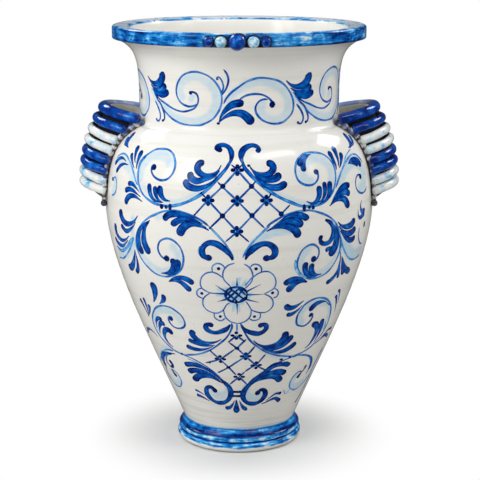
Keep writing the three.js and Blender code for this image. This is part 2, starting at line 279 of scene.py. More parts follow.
def foot_outline():
    """The foot's outline, and the height of the groove between its beads."""
    def angle(radius, at):
        return math.acos((at - FOOT_BEAD_RADIUS) / radius)

    lower_end = angle(LOWER_BEAD, GROOVE_RADIUS)
    upper_start = angle(UPPER_BEAD, GROOVE_RADIUS)
    upper_end = angle(UPPER_BEAD, COVE_RADIUS)
    groove_z = LOWER_BEAD * (1 + math.sin(lower_end))
    upper_z = groove_z + UPPER_BEAD * math.sin(upper_start)
    lower = arc((FOOT_BEAD_RADIUS, LOWER_BEAD), LOWER_BEAD - SKIN, -math.pi / 2, lower_end, 18)
    upper = arc((FOOT_BEAD_RADIUS, upper_z), UPPER_BEAD - SKIN, -upper_start, upper_end, 14)
    cove = [(68.9, 23.4), (68.0, 24.4), (67.2, 25.2), (BASE_RADIUS, FOOT_HEIGHT)]
    bore = [(FOOT_BORE_RADIUS, FOOT_HEIGHT), (FOOT_BORE_RADIUS, FOOT_CHAMFER),
            (FOOT_BORE_RADIUS + FOOT_CHAMFER, SKIN)]
    return np.concatenate([lower, upper, cove, bore]), groove_z


foot_line, foot_groove_z = foot_outline()


def foot_pools(places):
    """Where the blue pools on the foot: in the groove between the beads and in the cove on top."""
    z = places[:, 2]
    groove = np.exp(-((z - foot_groove_z) / GROOVE_POOL) ** 2)
    return groove + np.interp(z, *zip(*COVE_POOL))


foot = turned("turned_foot", foot_line, foot_blue(), attributes={"pooled": foot_pools})
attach(foot, "root")
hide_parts("foot_ring")

# Body: a large egg-shaped shell, thrown in clay, biscuit fired and covered in warm white glaze.
# The washes of thin blue, laid on with a broad brush inside the scrolls, are in its glaze.
BODY_HEIGHT = 361.0
WALL = 9.0
BASE_THICKNESS = 7.0
PLUG_DEPTH = 12.0
JOINT_GAP = 0.3
OUTSIDE_SPACING = 2.5
INSIDE_SPACING = 8.0
BELLY_RADIUS = 158.4
BELLY_Z = FOOT_HEIGHT + 267.5
BASE_FLARE = 31.0
BASE_FLARE_HEIGHT = 76.0
BELLY_SWELL_BELOW = 73.0
BELLY_SWELL_ABOVE = 43.0
SHOULDER_RADIUS = 124.0
SHOULDER_ROUND_OUT = 29.0
SHOULDER_ROUND_DOWN = 17.0
SHOULDER_Z = FOOT_HEIGHT + BODY_HEIGHT
NECK_HEIGHT = 97.5
NECK_TOP_Z = SHOULDER_Z + NECK_HEIGHT
NECK_RADIUS = 116.8
NECK_BORE_RADIUS = 107.3
NECK_FILLET = 9.0
NECK_STRAIGHT = 63.0
FLARE_RADIUS = 143.5
FLARE_BEND_OUT = 26.0
FLARE_BEND_DOWN = 12.0
WHITE = (0.85, 0.84, 0.795)
WASH_BLUE = (0.38, 0.63, 0.80)
WASH_SPREAD = 1.25
WASH_SOFT_EDGE = 0.55
WASH_DEPTH = 2.0
FLOWER_ACROSS = -3.5
FLOWER_UP = 213
FLOWER_RAYS = 18


def bezier(points, steps):
    """A Bezier curve through its first and last points, of any degree."""
    t = np.linspace(0, 1, steps + 1)[:, None]
    level = [np.asarray(p, float) * np.ones_like(t) for p in points]
    while len(level) > 1:
        level = [(1 - t) * a + t * b for a, b in zip(level, level[1:])]
    return level[0]


def distance_run(line):
    """How far along a line of points each of them lies."""
    return np.concatenate([[0], np.cumsum(np.linalg.norm(np.diff(line, axis=0), axis=1))])


def evened(line, spacing):
    """The same line with its points at an even spacing."""
    run = distance_run(line)
    at = np.linspace(0, run[-1], max(int(run[-1] / spacing), 2) + 1)
    return np.column_stack([np.interp(at, run, line[:, i]) for i in range(line.shape[1])])


body_curve = np.concatenate([
    bezier([(BASE_RADIUS, FOOT_HEIGHT), (BASE_RADIUS + BASE_FLARE, FOOT_HEIGHT + BASE_FLARE_HEIGHT),
            (BELLY_RADIUS, BELLY_Z - BELLY_SWELL_BELOW), (BELLY_RADIUS, BELLY_Z)], 160),
    bezier([(BELLY_RADIUS, BELLY_Z), (BELLY_RADIUS, BELLY_Z + BELLY_SWELL_ABOVE),
            (SHOULDER_RADIUS + SHOULDER_ROUND_OUT, SHOULDER_Z - SHOULDER_ROUND_DOWN),
            (SHOULDER_RADIUS, SHOULDER_Z)], 120)[1:],
])
fillet_turn = np.linspace(-math.pi / 2, -math.pi, 13)
neck_curve = np.concatenate([
    np.column_stack([SHOULDER_RADIUS + (SHOULDER_RADIUS - NECK_RADIUS) * np.cos(fillet_turn),
                     SHOULDER_Z + NECK_FILLET * (1 + np.sin(fillet_turn))]),
    bezier([(NECK_RADIUS, SHOULDER_Z + NECK_FILLET),
            (NECK_RADIUS, SHOULDER_Z + NECK_FILLET + NECK_STRAIGHT),
            (FLARE_RADIUS - FLARE_BEND_OUT, NECK_TOP_Z - FLARE_BEND_DOWN),
            (FLARE_RADIUS, NECK_TOP_Z)], 90)[1:],
])


def facing_of(line):
    """Which way each point of an outline faces, away from the clay on its left."""
    along = np.gradient(line, axis=0)
    along /= np.linalg.norm(along, axis=1)[:, None]
    return np.column_stack([along[:, 1], -along[:, 0]])


body_curve = body_curve - facing_of(body_curve) * SKIN
neck_curve = neck_curve - facing_of(neck_curve) * SKIN
wall_curve = np.concatenate([body_curve, neck_curve[1:]])
wall_facing = facing_of(wall_curve)


def wall_radius(z):
    """The radius of the painted wall of body and neck at a height."""
    return np.interp(z, wall_curve[:, 1], wall_curve[:, 0])


def on_wall(angle, z, proud):
    """A point of the wall at an angle from the front, a distance proud of it, and how it faces there."""
    radius, out, up = (np.interp(z, wall_curve[:, 1], column)
                       for column in (wall_curve[:, 0], wall_facing[:, 0], wall_facing[:, 1]))
    away = radius + out * proud
    place = np.column_stack([away * np.sin(angle), -away * np.cos(angle), z + up * proud])
    facing = np.column_stack([out * np.sin(angle), -out * np.cos(angle), up])
    return place, facing


def smooth_line(points, spacing, spare=()):
    """A smooth curve through given points, and the distance run at each of its points. It has
    spare points at given distances before its end, or past its start where they are negative."""
    knots = np.asarray(points, float)
    ends = np.concatenate([[2 * knots[0] - knots[1]], knots, [2 * knots[-1] - knots[-2]]])
    t = np.linspace(0, 1, 14, endpoint=False)[:, None]
    spans = [
        0.5 * (2 * b + (c - a) * t + (2 * a - 5 * b + 4 * c - d) * t ** 2 + (3 * b - a - 3 * c + d) * t ** 3)
        for a, b, c, d in zip(ends, ends[1:], ends[2:], ends[3:])
    ]
    dense = np.concatenate([*spans, knots[-1:]])
    run = distance_run(dense)
    at = np.linspace(0, run[-1], max(int(run[-1] / spacing), 3) + 1)
    extra = [run[-1] - s if s >= 0 else -s for s in spare]
    at = np.unique(np.round(np.clip(np.concatenate([at, extra]), 0, run[-1]), 4))
    return np.column_stack([np.interp(at, run, dense[:, i]) for i in (0, 1)]), at


def white_glaze():
    """Warm white with grey throwing rings, thin blue washes, specks and the top edge of the foot's blue."""
    finish = Finish("white tin glaze")
    cast = finish.cloud(9.0, 3.0)
    tone = finish.mix(WHITE, (0.80, 0.785, 0.745), cast.eased(0.42, 0.75) * 0.55)
    rings = finish.cloud(1.0, 3.0, (4, 4, 120)).eased(0.5, 0.75)
    low = 1 - finish.height().eased(0.03, 0.12)
    tone = finish.mix(tone, (0.66, 0.64, 0.57), rings * (0.30 + low * 0.35))
    fine = finish.cloud(1.0, 3.0, (13, 13, 380), offset=1.0).eased(0.46, 0.70)
    tone = finish.mix(tone, (0.52, 0.50, 0.43), fine * low * 0.45)
    brushed = finish.cloud(1.0, 4.0, (120, 120, 260), 0.6).eased(0.25, 0.7)
    wash = finish.mark("wash") * (0.85 + brushed * 0.60)
    tone = finish.mix(tone, WASH_BLUE, wash)
    left = hem(finish)
    fading = finish.ramp(left, (0.0, WHITE), (0.30, (0.34, 0.62, 0.86)), (0.75, (0.01, 0.16, 0.54)))
    tone = finish.mix(tone, fading, left.eased(0.0, 0.12))
    specks = finish.cloud(520.0, 0.0).eased(0.80, 0.84)
    specks = specks * finish.cloud(60.0, 1.0, offset=3.0).eased(0.55, 0.65)
    tone = finish.mix(tone, (0.20, 0.25, 0.34), specks * 0.6)
    # Dark wash and painted shade on the wall beside the seam rolls
    dark_wash_and_shade = finish.mark("dark_wash_and_shade") * finish.cloud(260.0, 3.0, roughness=0.7).eased(0.25, 0.6)
    tone = finish.mix(tone, (0.07, 0.055, 0.04), dark_wash_and_shade)
    rough = finish.cloud(40.0, 3.0) * 0.10 + 0.07
    return finish.surface(tone, rough, thrown_relief(finish))


glaze = white_glaze()


def wash_rule(girth, strokes, turns):
    """How much thin blue lies at each point: strokes are (half width, strength, points)."""
    def rule(places):
        strength = np.zeros(len(places))
        angle = np.arctan2(places[:, 0], -places[:, 1])
        outside = np.hypot(places[:, 0], places[:, 1]) > wall_radius(places[:, 2]) - WASH_DEPTH
        for turn in turns:
            across = ((angle - turn + math.pi) % (2 * math.pi) - math.pi) * girth
            for half, load, points in strokes:
                half = half * WASH_SPREAD
                line, _ = smooth_line(points, spacing=2.0)
                low, high = line.min(axis=0) - half, line.max(axis=0) + half
                near = outside & (across > low[0]) & (across < high[0])
                near &= (places[:, 2] > low[1]) & (places[:, 2] < high[1])
                which = np.flatnonzero(near)
                spots = np.column_stack([across[which], places[which, 2]])
                away = np.full(len(which), half)
                for p in line:
                    away = np.minimum(away, np.hypot(*(spots - p).T))
                share = np.clip((half - away) / (WASH_SOFT_EDGE * half), 0, 1)
                strength[which] = np.maximum(strength[which], load * share * share * (3 - 2 * share))
        return strength
    return rule


BODY_GIRTH = BELLY_RADIUS
HALF_TURN = math.pi
body_washes = [
    (6, 0.42, [(-125, 338), (-124, 350), (-117, 360), (-105, 365.5), (-92, 364.5), (-84, 358)]),
    (4, 0.30, [(-118, 330), (-108, 322), (-92, 317), (-75, 317)]),
    (4, 0.35, [(-30, 341), (-48, 327), (-66, 318), (-82, 315.5)]),
    (5, 0.40, [(-127, 268), (-126, 253), (-116, 241), (-101, 235), (-85, 237), (-74, 245), (-71, 256),
               (-77, 266)]),
    (4, 0.35, [(-40, 295), (-56, 302), (-76, 303), (-96, 298)]),
    (5, 0.42, [(-140, 150), (-140, 163), (-132, 176), (-118, 183), (-102, 184), (-91, 180), (-86, 173)]),
    (7, 0.42, [(-22, 90), (-24, 80), (-35, 76), (-48, 76), (-56, 80)]),
    (7, 0.36, [(-133, 334), (-144, 344), (-157, 350), (-172, 352)]),
    (6, 0.40, [(-176, 329), (-178, 319), (-184, 313)]),
    (8, 0.42, [(-139, 262), (-152, 250), (-166, 245), (-182, 242)]),
    (4, 0.45, [(-135, 292), (-137, 276), (-138, 260)]),
    (5, 0.35, [(-126, 132), (-143, 127), (-158, 121), (-174, 113)]),
    (6, 0.42, [(113, 336), (115, 348), (108, 358), (96, 363), (84, 361), (75, 353), (75, 343), (84, 338)]),
    (4, 0.35, [(22, 343), (42, 328), (62, 319), (80, 314)]),
    (7, 0.48, [(126, 334), (140, 346), (157, 351), (172, 347), (181, 336), (180, 324), (168, 321)]),
    (5, 0.42, [(124, 262), (125, 247), (116, 237), (102, 231), (87, 232), (76, 241), (74, 254), (82, 263)]),
    (4, 0.45, [(124, 280), (131, 268), (133, 250)]),
    (8, 0.52, [(139, 262), (152, 249), (167, 243), (184, 243)]),
    (5, 0.52, [(16, 274), (26, 281), (40, 286), (56, 287)]),
    (5, 0.42, [(151, 165), (147, 178), (137, 188), (122, 192), (104, 194), (92, 189), (87, 179), (93, 171)]),
    (7, 0.48, [(14, 88), (16, 78), (25, 74), (36, 74), (44, 78)]),
    (3, 0.30, [(20, 90), (20, 81), (27, 77)]),
    (5, 0.42, [(-137, 94), (-136, 88), (-141, 83), (-150, 80), (-160, 81), (-170, 86)]),
    (5, 0.42, [(122, 95), (116, 90), (117, 84), (126, 80), (139, 80), (152, 83)]),
    (4, 0.35, [(24, 148), (40, 139), (60, 131), (84, 127)]),
    (8.5, 0.85, [(-9, FLOWER_UP), (2, FLOWER_UP)]),
    (4, 0.30, [(236, 255), (226, 240), (222, 222)]),
    (4, 0.30, [(262, 255), (272, 240), (276, 222)]),
]

# Rays of thin blue round the heart of the flower, some longer than others
for i in range(FLOWER_RAYS):
    turn = 2 * math.pi * i / FLOWER_RAYS
    way_across, way_up = math.cos(turn), math.sin(turn)
    reach = 18.0 + 5.5 * math.sin(5.0 * i)
    ray_start = (FLOWER_ACROSS + 13 * way_across, FLOWER_UP + 10 * way_up)
    ray_end = (FLOWER_ACROSS + reach * way_across, FLOWER_UP + (reach - 3) * way_up)
    body_washes.append((2.2, 0.75, [ray_start, ray_end]))


def body_outline():
    """From the plug that sits in the foot's bore up the outside, and down the inside to the floor."""
    plug_z = FOOT_HEIGHT - PLUG_DEPTH
    plug_radius = FOOT_BORE_RADIUS - JOINT_GAP
    floor_z = FOOT_HEIGHT + BASE_THICKNESS
    inner = evened(body_curve - facing_of(body_curve) * (WALL - SKIN), INSIDE_SPACING)
    inner = inner[((inner[:, 0] > NECK_BORE_RADIUS) | (inner[:, 1] < BELLY_Z)) & (inner[:, 1] > floor_z + 1)]
    return np.concatenate([
        [(0, plug_z), (plug_radius, plug_z), (plug_radius, FOOT_HEIGHT)],
        evened(body_curve, OUTSIDE_SPACING),
        [(NECK_BORE_RADIUS, SHOULDER_Z)],
        inner[::-1],
        [(inner[0, 0] - WALL, floor_z), (0, floor_z)],
    ])


body = turned("glazed_body", body_outline(), glaze, closed=False,
              attributes={"wash": wash_rule(BODY_GIRTH, body_washes, [0, HALF_TURN])})
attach(body, "root")
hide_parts("thrown_body")

# Neck: thrown on its own as a slightly waisted drum, joined to the shoulder with slip, and
# flared at the top to carry the rim band. It has the body's glaze inside and out.
MOUTH_RADIUS = 124.0
BORE_FLARE_DROP = 40.0
NECK_GIRTH = 117.0
NECK_REPEATS = [0.0, 177.0, 363.0, -186.5]
neck_washes = [
    (5, 0.42, [(-96, 417), (-80, 405), (-62, 400.5), (-45, 401.5), (-33, 408), (-26, 420), (-26, 432),
               (-32, 442)]),
    (5, 0.36, [(-32, 442), (-43, 449), (-55, 449), (-65, 443), (-69, 434), (-66, 427)]),
    (4, 0.40, [(-53, 428), (-55, 425)]),
    (5, 0.42, [(-12, 426), (-2, 436), (11, 443), (25, 445), (39, 441.5), (50, 434), (56, 423), (56, 413)]),
    (5, 0.36, [(56, 413), (50, 405.5), (40, 403), (30, 406), (24, 413), (26, 421)]),
    (4, 0.50, [(-116, 431), (-106, 421), (-94, 413), (-84, 408)]),
]


def neck_outline():
    """Up the outside to the flare, and down the bore to the shoulder."""
    bore = bezier([(MOUTH_RADIUS, NECK_TOP_Z), (MOUTH_RADIUS, NECK_TOP_Z - BORE_FLARE_DROP / 3),
                   (NECK_BORE_RADIUS, NECK_TOP_Z - BORE_FLARE_DROP / 2),
                   (NECK_BORE_RADIUS, NECK_TOP_Z - BORE_FLARE_DROP)], 14)
    return np.concatenate([evened(neck_curve, OUTSIDE_SPACING), bore, [(NECK_BORE_RADIUS, SHOULDER_Z)]])


neck_turns = [shift / NECK_GIRTH for shift in NECK_REPEATS]
neck = turned("glazed_neck", neck_outline(), glaze,
              attributes={"wash": wash_rule(NECK_GIRTH, neck_washes, neck_turns)})
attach(neck, "root")
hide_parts("thrown_neck")

# Brushwork: cobalt painted on the raw glaze freehand and melted into it by the firing. The panel
# of scrolls, leaves, trellis and flower is the same at front and back. A loaded brush leaves a
# leaf fat at its tip, and a fine liner draws the scrolls; sizes are measured round the belly.
RAISED = 0.05
LEAF_LIFT = 0.02
DAB_LIFT = 0.03
LAYER = 0.0012
LAYERS = 40
RIBBON_DEPTH = 0.35
FINEST_LINE = 0.16
STROKE_SPACING = 1.5
STROKES_APART = 37.0
PRESSED = 1.30
LINER_SPREAD = 0.45
DAB = 0.98
PALE_SCROLL = 0.6


class Brush:
    """Strokes kept as thin ribbons on the wall. A point is (distance across, height above the floor)."""

    def __init__(self, girth):
        self.girth = girth
        self.places = []
        self.facings = []
        self.faces = []
        self.marks = {"along": [], "across": [], "run": [], "load": []}
        self.count = 0
        self.strokes = 0

    def stroke(self, points, half_width, load, raised, spare=()):
        """A ribbon along the points. Where strokes cross, the later one lies a hair higher."""
        line, run = smooth_line(points, STROKE_SPACING, spare)
        self.strokes += 1
        length = run[-1]
        proud = raised + LAYER * (self.strokes % LAYERS)
        centre, facing = on_wall(line[:, 0] / self.girth, line[:, 1], proud)
        ahead = np.gradient(centre, axis=0)
        aside = np.cross(facing, ahead)
        aside /= np.linalg.norm(aside, axis=1)[:, None]
        narrowing = 0.5 + 0.5 * wall_radius(line[:, 1]) / self.girth
        half = np.maximum(half_width(run, length), FINEST_LINE / 2) * narrowing
        left, right = centre + aside * half[:, None], centre - aside * half[:, None]
        sunk = facing * (raised + RIBBON_DEPTH)
        rings = np.stack([left, right, right - sunk, left - sunk], axis=1)
        self.places.append(rings.reshape(-1, 3))
        self.facings.append(np.repeat(facing, 4, axis=0))
        rows = len(line)
        for row in range(rows - 1):
            low = self.count + 4 * row
            self.faces += [(low + k, low + (k + 1) % 4, low + 4 + (k + 1) % 4, low + 4 + k)
                           for k in range(4)]
        self.faces.append(tuple(self.count + 3 - k for k in range(4)))
        self.faces.append(tuple(self.count + 4 * rows - 4 + k for k in range(4)))
        self.marks["along"].append(np.repeat(run / length, 4))
        self.marks["across"].append(np.tile([1.0, -1.0, -1.0, 1.0], rows))
        self.marks["run"].append(np.repeat(run + STROKES_APART * self.strokes, 4))
        self.marks["load"].append(np.full(4 * rows, load))
        self.count += 4 * rows

    def lobe(self, width, *points, load=0.67):
        """A leaf: the brush lands lightly, is pressed down, and leaves a round end."""
        def half(run, length):
            full = width * PRESSED / 2
            cap = min(full, length / 3)
            grown = 0.14 + 0.86 * np.sin(np.clip(run / (0.9 * length), 0, 1) * math.pi / 2) ** 1.35
            end = np.sqrt(np.clip(1 - (np.clip(run - (length - cap), 0, cap) / cap) ** 2, 0, 1))
            return full * grown * end
        self.stroke(points, half, load, RAISED + LEAF_LIFT, spare=[0.05, 0.18, 0.4, 0.7, 1.1])

    def petal(self, width, *points, load=0.72):
        """A comet: fat where the brush lands and drawn out to a point."""
        def half(run, length):
            full = width * PRESSED / 2
            cap = min(full, length / 3)
            start = np.sqrt(np.clip(1 - (1 - np.clip(run, 0, cap) / cap) ** 2, 0, 1))
            return full * start * (1 - 0.85 * np.clip((run - cap) / (length - cap), 0, 1) ** 0.9)
        self.stroke(points, half, load, RAISED + LEAF_LIFT, spare=[-0.05, -0.3, -0.8])

    def line(self, width, *points, bulb=0.0, load=0.56, thin=1.0):
        """A scroll drawn with the liner, which may thin out by a factor or end in a round drop."""
        def half(run, length):
            full = (width + LINER_SPREAD) / 2
            steady = full * np.minimum(1, 0.35 + np.minimum(run, length - run) / (2.5 * width))
            steady = steady * (1 + 0.12 * np.sin(run * 0.21 + width * 9))
            steady = steady * (1 + (thin - 1) * np.clip(run / (0.5 * length), 0, 1))
            if not bulb:
                return steady
            drop = np.sqrt(np.clip((bulb / 2) ** 2 - (run - (length - bulb / 2)) ** 2, 0, None))
            swell = bulb / 2 * 0.8 * np.clip((run - (length - 2.6 * bulb)) / (2.1 * bulb), 0, 1) ** 2
            swell = np.where(run > length - bulb / 2, 0, swell)
            return np.maximum(np.where(run > length - bulb / 2, 0, steady), np.maximum(drop, swell))
        self.stroke(points, half, load, RAISED, spare=[0.05, 0.3, 0.8] if bulb else ())
        if bulb and load < PALE_SCROLL:
            last, before = np.array(points[-1], float), np.array(points[-2], float)
            centre = last + (before - last) / np.linalg.norm(before - last) * bulb / 2
            self.dot(*centre, bulb * 0.95, bulb * 0.85)

    def dot(self, across, up, length, height, load=0.95):
        """An oval dab of the brush."""
        def half(run, whole):
            return DAB * height / 2 * np.sqrt(np.clip(1 - ((run - whole / 2) / (whole / 2)) ** 2, 0, 1))
        ends = [(across - DAB * length / 2, up), (across, up), (across + DAB * length / 2, up)]
        self.stroke(ends, half, load, RAISED + DAB_LIFT, spare=[0.05, 0.3, 0.8, -0.05, -0.3, -0.8])

    def flower4(self, across, up, size=1.0):
        """A four-petalled dab at a crossing of the trellis."""
        wide = size * self.girth / wall_radius(up)
        for hand in (-1, 1):
            self.dot(across, up + hand * 3.6 * size, 4.4 * wide, 5.0 * size, load=1.0)
            self.dot(across + hand * 4.3 * wide, up, 5.2 * wide, 4.4 * size, load=1.0)

    def painted(self, name, material, turn=0.0):
        """All the strokes as one piece, turned round the jar by an angle."""
        cos, sin = math.cos(turn), math.sin(turn)
        spin = np.array([[cos, -sin, 0], [sin, cos, 0], [0, 0, 1]])
        marks = {key: np.concatenate(values) for key, values in self.marks.items()}
        piece = mesh_piece(name, np.concatenate(self.places) @ spin.T, self.faces, material, marks)
        piece.data.normals_split_custom_set_from_vertices(np.concatenate(self.facings) @ spin.T)
        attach(piece, "root")
        return piece


def painted_blue():
    """Cobalt under a clear glaze: pooled dark at the rim and the end of a stroke, thin in its streaks."""
    finish = Finish("painted cobalt")
    across, run = finish.mark("across"), finish.mark("run")
    which_stroke = finish.node("Math", {0: run * 0.027}, operation="FLOOR")
    spot = finish.node("CombineXYZ", {0: across * 1.6, 1: run * 0.035, 2: which_stroke})
    bristles = finish.node("TexNoise", {"Vector": spot, "Scale": 2.2, "Detail": 2.0})
    blots = finish.cloud(130.0, 2.0)
    rim = finish.node("Math", {0: across}, operation="ABSOLUTE") ** 3.0
    root = 1 - finish.mark("along").eased(0.0, 0.20)
    end = finish.mark("along").eased(0.72, 0.97)
    load = finish.mark("load") * (0.36 + bristles * 1.25 + end * 0.30 + root * 0.36)
    load = load + rim * 0.26 + blots.eased(0.30, 0.70) * 0.24 - 0.15
    color = finish.ramp(load, (0.0, (0.60, 0.78, 0.89)), (0.26, (0.09, 0.40, 0.78)),
                        (0.52, (0.0, 0.125, 0.53)), (0.80, (0.0, 0.030, 0.25)), (1.0, (0.0, 0.006, 0.08)))
    rough = finish.cloud(40.0, 3.0) * 0.10 + 0.07
    return finish.surface(color, rough, thrown_relief(finish), Specular_Tint=(0.5, 0.8, 1.0))


cobalt_paint = painted_blue()
panel = Brush(BODY_GIRTH)

# The upper scrolls, which spring from two curls under the neck
panel.line(6.4, (-10.5, 361.5), (-9, 366), (-9.3, 371.5), (-13, 376.5), (-20, 378.7), (-26, 377.5),
           (-28, 375.5), (-25, 374), (-20.5, 373.8), bulb=6.4, load=0.76)
panel.line(3.8, (-9, 365), (-14, 356.5), (-20, 349.5), (-26, 343), (-33, 335), (-41, 328.5), (-50, 322.5),
           (-60, 317.5), (-70, 314), (-80, 312), (-90, 312), (-100, 313), (-110, 316.5), (-118, 321),
           (-124, 328), (-128, 336), (-130, 345), (-130, 353), (-127, 359), (-121, 364), (-112, 369.5),
           (-105, 371), (-95, 371.5), (-88, 370), (-82, 366.5), (-78, 361), (-76.5, 355), (-78, 348),
           (-83, 342), (-90, 339.2), (-97, 339.5), (-104, 342.5), (-108, 347), (-107.5, 351), (-102, 352.5),
           bulb=7.6, load=0.42, thin=0.62)
panel.line(1.1, (-123, 326), (-126.5, 334), (-128.5, 344), (-127.5, 354), (-122, 361.5), load=0.3)
panel.line(6.8, (5.5, 360), (3, 364), (2.5, 369), (5, 374), (11, 377.5), (18, 378.5), (23.5, 376.5),
           (24.5, 374), (20.5, 372.2), bulb=6.4, load=0.74)
panel.line(4.0, (3, 365), (6, 357), (12, 350), (20, 342), (30, 334), (40, 327), (50, 321.5), (60, 317),
           (70, 313), (80, 312), (90, 312), (98, 313), (106, 317), (113, 323), (118, 331), (121, 340),
           (121.5, 348), (120, 355), (115, 361), (108, 365.5), (100, 367.5), (90, 368.5), (82, 368),
           (75, 365), (69, 360), (66, 353), (66, 346), (69, 340), (75, 336), (82, 334.5), (88, 335.5),
           (93, 339), (95, 344), (93, 348), (89.5, 347), bulb=6.8, load=0.40, thin=0.58)
panel.lobe(5.5, (91, 366.5), (82, 365.5), (75, 361), (71, 355.5))
panel.lobe(5.5, (88, 366), (80, 361.5), (76.5, 355), (77.5, 349.5))

# Acanthus leaves that grow from the foot of the curls
panel.lobe(6.4, (-20.5, 359), (-24, 353), (-30, 349), (-38, 347.5), (-45, 350), (-48.5, 355), (-46, 360),
           (-40.5, 360))
panel.lobe(6.4, (-22, 353), (-28, 347), (-38, 344), (-48, 341.5), (-55, 345), (-56, 351))
panel.lobe(6.4, (-25, 347), (-30, 341), (-38, 336), (-48, 333.5), (-58, 336), (-62, 342.5))
panel.lobe(6.6, (12, 358), (17, 352.5), (24, 349.5), (31, 349), (37, 351.5), (39.5, 356), (37, 360),
           (31.5, 359.8))
panel.lobe(6.6, (13, 356), (19, 349), (26, 345), (34, 343.5), (42, 345), (47, 350))
panel.lobe(6.6, (16, 352), (21, 344), (28, 338.5), (36, 335.5), (44, 335), (50, 337.5), (52.5, 341))
panel.dot(11, 358.5, 4, 3)

# Upper trellis, with a dab at each crossing
for across, up in ((-2, 354), (-34, 321.5), (-2, 321.5), (30, 321.5), (-2.5, 288)):
    panel.flower4(across, up, size=1.06)
for across, up in ((-18, 337), (13.7, 337), (-18, 305), (14, 305.5), (46.5, 306)):
    panel.dot(across, up, 6.2, 6.0)
for across, up in ((-42, 329), (-49, 305), (-32, 291), (34.5, 327.5)):
    panel.dot(across, up, 2.6, 2.2)
TRELLIS_LINES = [
    [(4, 360), (-2, 354), (-18, 337), (-34, 321.5), (-49, 305)],
    [(14, 337), (-2, 321.5), (-18, 305), (-32, 291)],
    [(35, 328), (30, 321.5), (14, 305), (-2, 288), (-15, 276)],
    [(-9, 359.5), (-2, 354), (14, 337), (30, 321.5), (46.5, 306), (57, 296)],
    [(-24, 341.5), (-2, 321.5), (14, 305), (28, 291)],
    [(-42, 329), (-34, 321.5), (-18, 305), (-2, 288), (11, 276)],
    [(19, 343), (13.7, 337), (-2, 321.5)],
    [(46.5, 306), (57, 315.5)],
]
for points in TRELLIS_LINES:
    panel.line(1.75, *points, load=0.58)

# Clasps that tie the scrolls together, and the leaves that stand on them
for across, up, length, height in ((-90, 310.5, 5, 6), (-84, 310.5, 4.5, 4.5), (-79, 311, 4.5, 8),
                                   (74, 310.5, 4.5, 9), (80.5, 310.5, 4, 4), (85.5, 310, 4.5, 5)):
    panel.dot(across, up, length, height, load=0.95)
panel.lobe(5, (-90, 314.5), (-100, 316.5), (-106, 322), (-108.5, 330), (-108, 334))
panel.lobe(5, (-88, 315), (-95, 318), (-99, 324), (-100.5, 332))
panel.lobe(6.5, (-79, 317.5), (-86, 318.5), (-91, 323), (-93, 329), (-91.5, 333))
panel.lobe(6, (77, 317.5), (84, 314.5), (90, 316.5), (94, 322), (94.5, 328), (93.5, 333))
panel.lobe(5, (90, 314), (98, 317), (102, 324), (102.5, 331), (102, 336.5))
panel.lobe(6, (92, 312.5), (103, 316), (108.5, 323), (110, 331), (110, 336.5))

# Scrolls and leaves that run out from the clasps under the handles
panel.line(1.8, (-127, 330), (-130, 332), (-136, 340), (-142, 347), (-150, 353), (-158, 357), (-166, 359),
           (-174, 358.5), (-181, 356), (-186, 352), load=0.32)
panel.line(1.6, (-184, 330), (-178, 331), (-173, 326), (-173, 318), (-178, 312), (-187, 309), load=0.4)
panel.dot(-186, 328, 8, 5)
panel.line(2.0, (119, 327), (124, 335), (131, 343), (139, 350), (148, 355), (158, 358.5), (166, 359),
           (174, 357), (181, 352), (185, 347), load=0.32)
panel.line(1.2, (135, 346), (145, 357), (155, 362), (165, 365), load=0.28)
panel.line(1.8, (188, 319), (184, 316), (176, 314), (168, 315), (162, 318), (158, 323), (158, 329.5),
           (161, 334), (166, 336), (171, 334), (170.5, 330), bulb=6.5)
panel.lobe(4.5, (-158, 352), (-165, 354), (-173, 354), (-180, 351), (-187, 345))
panel.lobe(4.5, (-151, 349), (-160, 349), (-168, 346.5), (-174, 342), (-178, 337))
panel.lobe(6, (-165, 366.5), (-170, 367.5), (-176, 372), (-177, 382))
panel.lobe(5, (-172, 367), (-179, 369), (-184, 376))
panel.lobe(6.5, (148, 350.5), (156, 354), (165, 353.5), (173, 350), (178, 344))
panel.lobe(5, (149, 351), (158, 350.5), (165, 349), (170, 346.5))
panel.lobe(6.5, (162, 366.5), (168, 367.5), (173, 371), (174.5, 378), (174.5, 381))
panel.lobe(5, (170, 367), (178, 369), (183, 373), (185, 378))
panel.petal(4.5, (-152, 362), (-147, 356), (-142, 350.5), (-138.5, 347.5))
panel.petal(5.5, (-145, 371), (-143.5, 363), (-141, 356.5), (-138.5, 353))
panel.petal(6, (-133, 367), (-134.5, 359), (-134.5, 352), (-134, 347))
panel.petal(5.5, (119.5, 367.5), (122, 360), (124.5, 352), (124, 347))
panel.petal(6, (130.5, 372), (131, 363), (130.5, 355), (128.5, 350.5))
panel.petal(5.5, (141, 364), (137, 357), (132, 350.5), (129.5, 348.5))
panel.lobe(4.5, (-123.5, 322), (-126, 324), (-131, 327), (-138, 330), (-146, 329))
panel.lobe(5, (-121.5, 317.5), (-129, 320.5), (-136, 323), (-144, 323), (-151, 320))
panel.lobe(6, (-118.5, 312.5), (-128, 316), (-135, 317), (-142, 315), (-147, 310), (-148, 305))
panel.lobe(6, (110, 310), (117, 318), (126, 325), (134, 328), (141, 327.5), (144, 326))
panel.lobe(6, (112, 312), (122, 319), (131, 321.5), (138, 320.5), (143.5, 317))
panel.lobe(7, (108.5, 309), (118, 314), (127, 315), (134, 312.5), (138.5, 306), (139, 302))
panel.lobe(5, (171, 306), (168, 301), (169, 295.5), (174, 292.5), (181, 294))
panel.lobe(5, (161.5, 297), (162.5, 290), (167, 286.5), (174, 288), (180, 290))
panel.lobe(7, (-126, 295.5), (-133, 288), (-143, 283.5), (-152, 284), (-159, 290), (-160, 298))
panel.lobe(5, (-130, 288), (-134, 283), (-142, 277), (-150, 274), (-156, 276), (-161, 280))
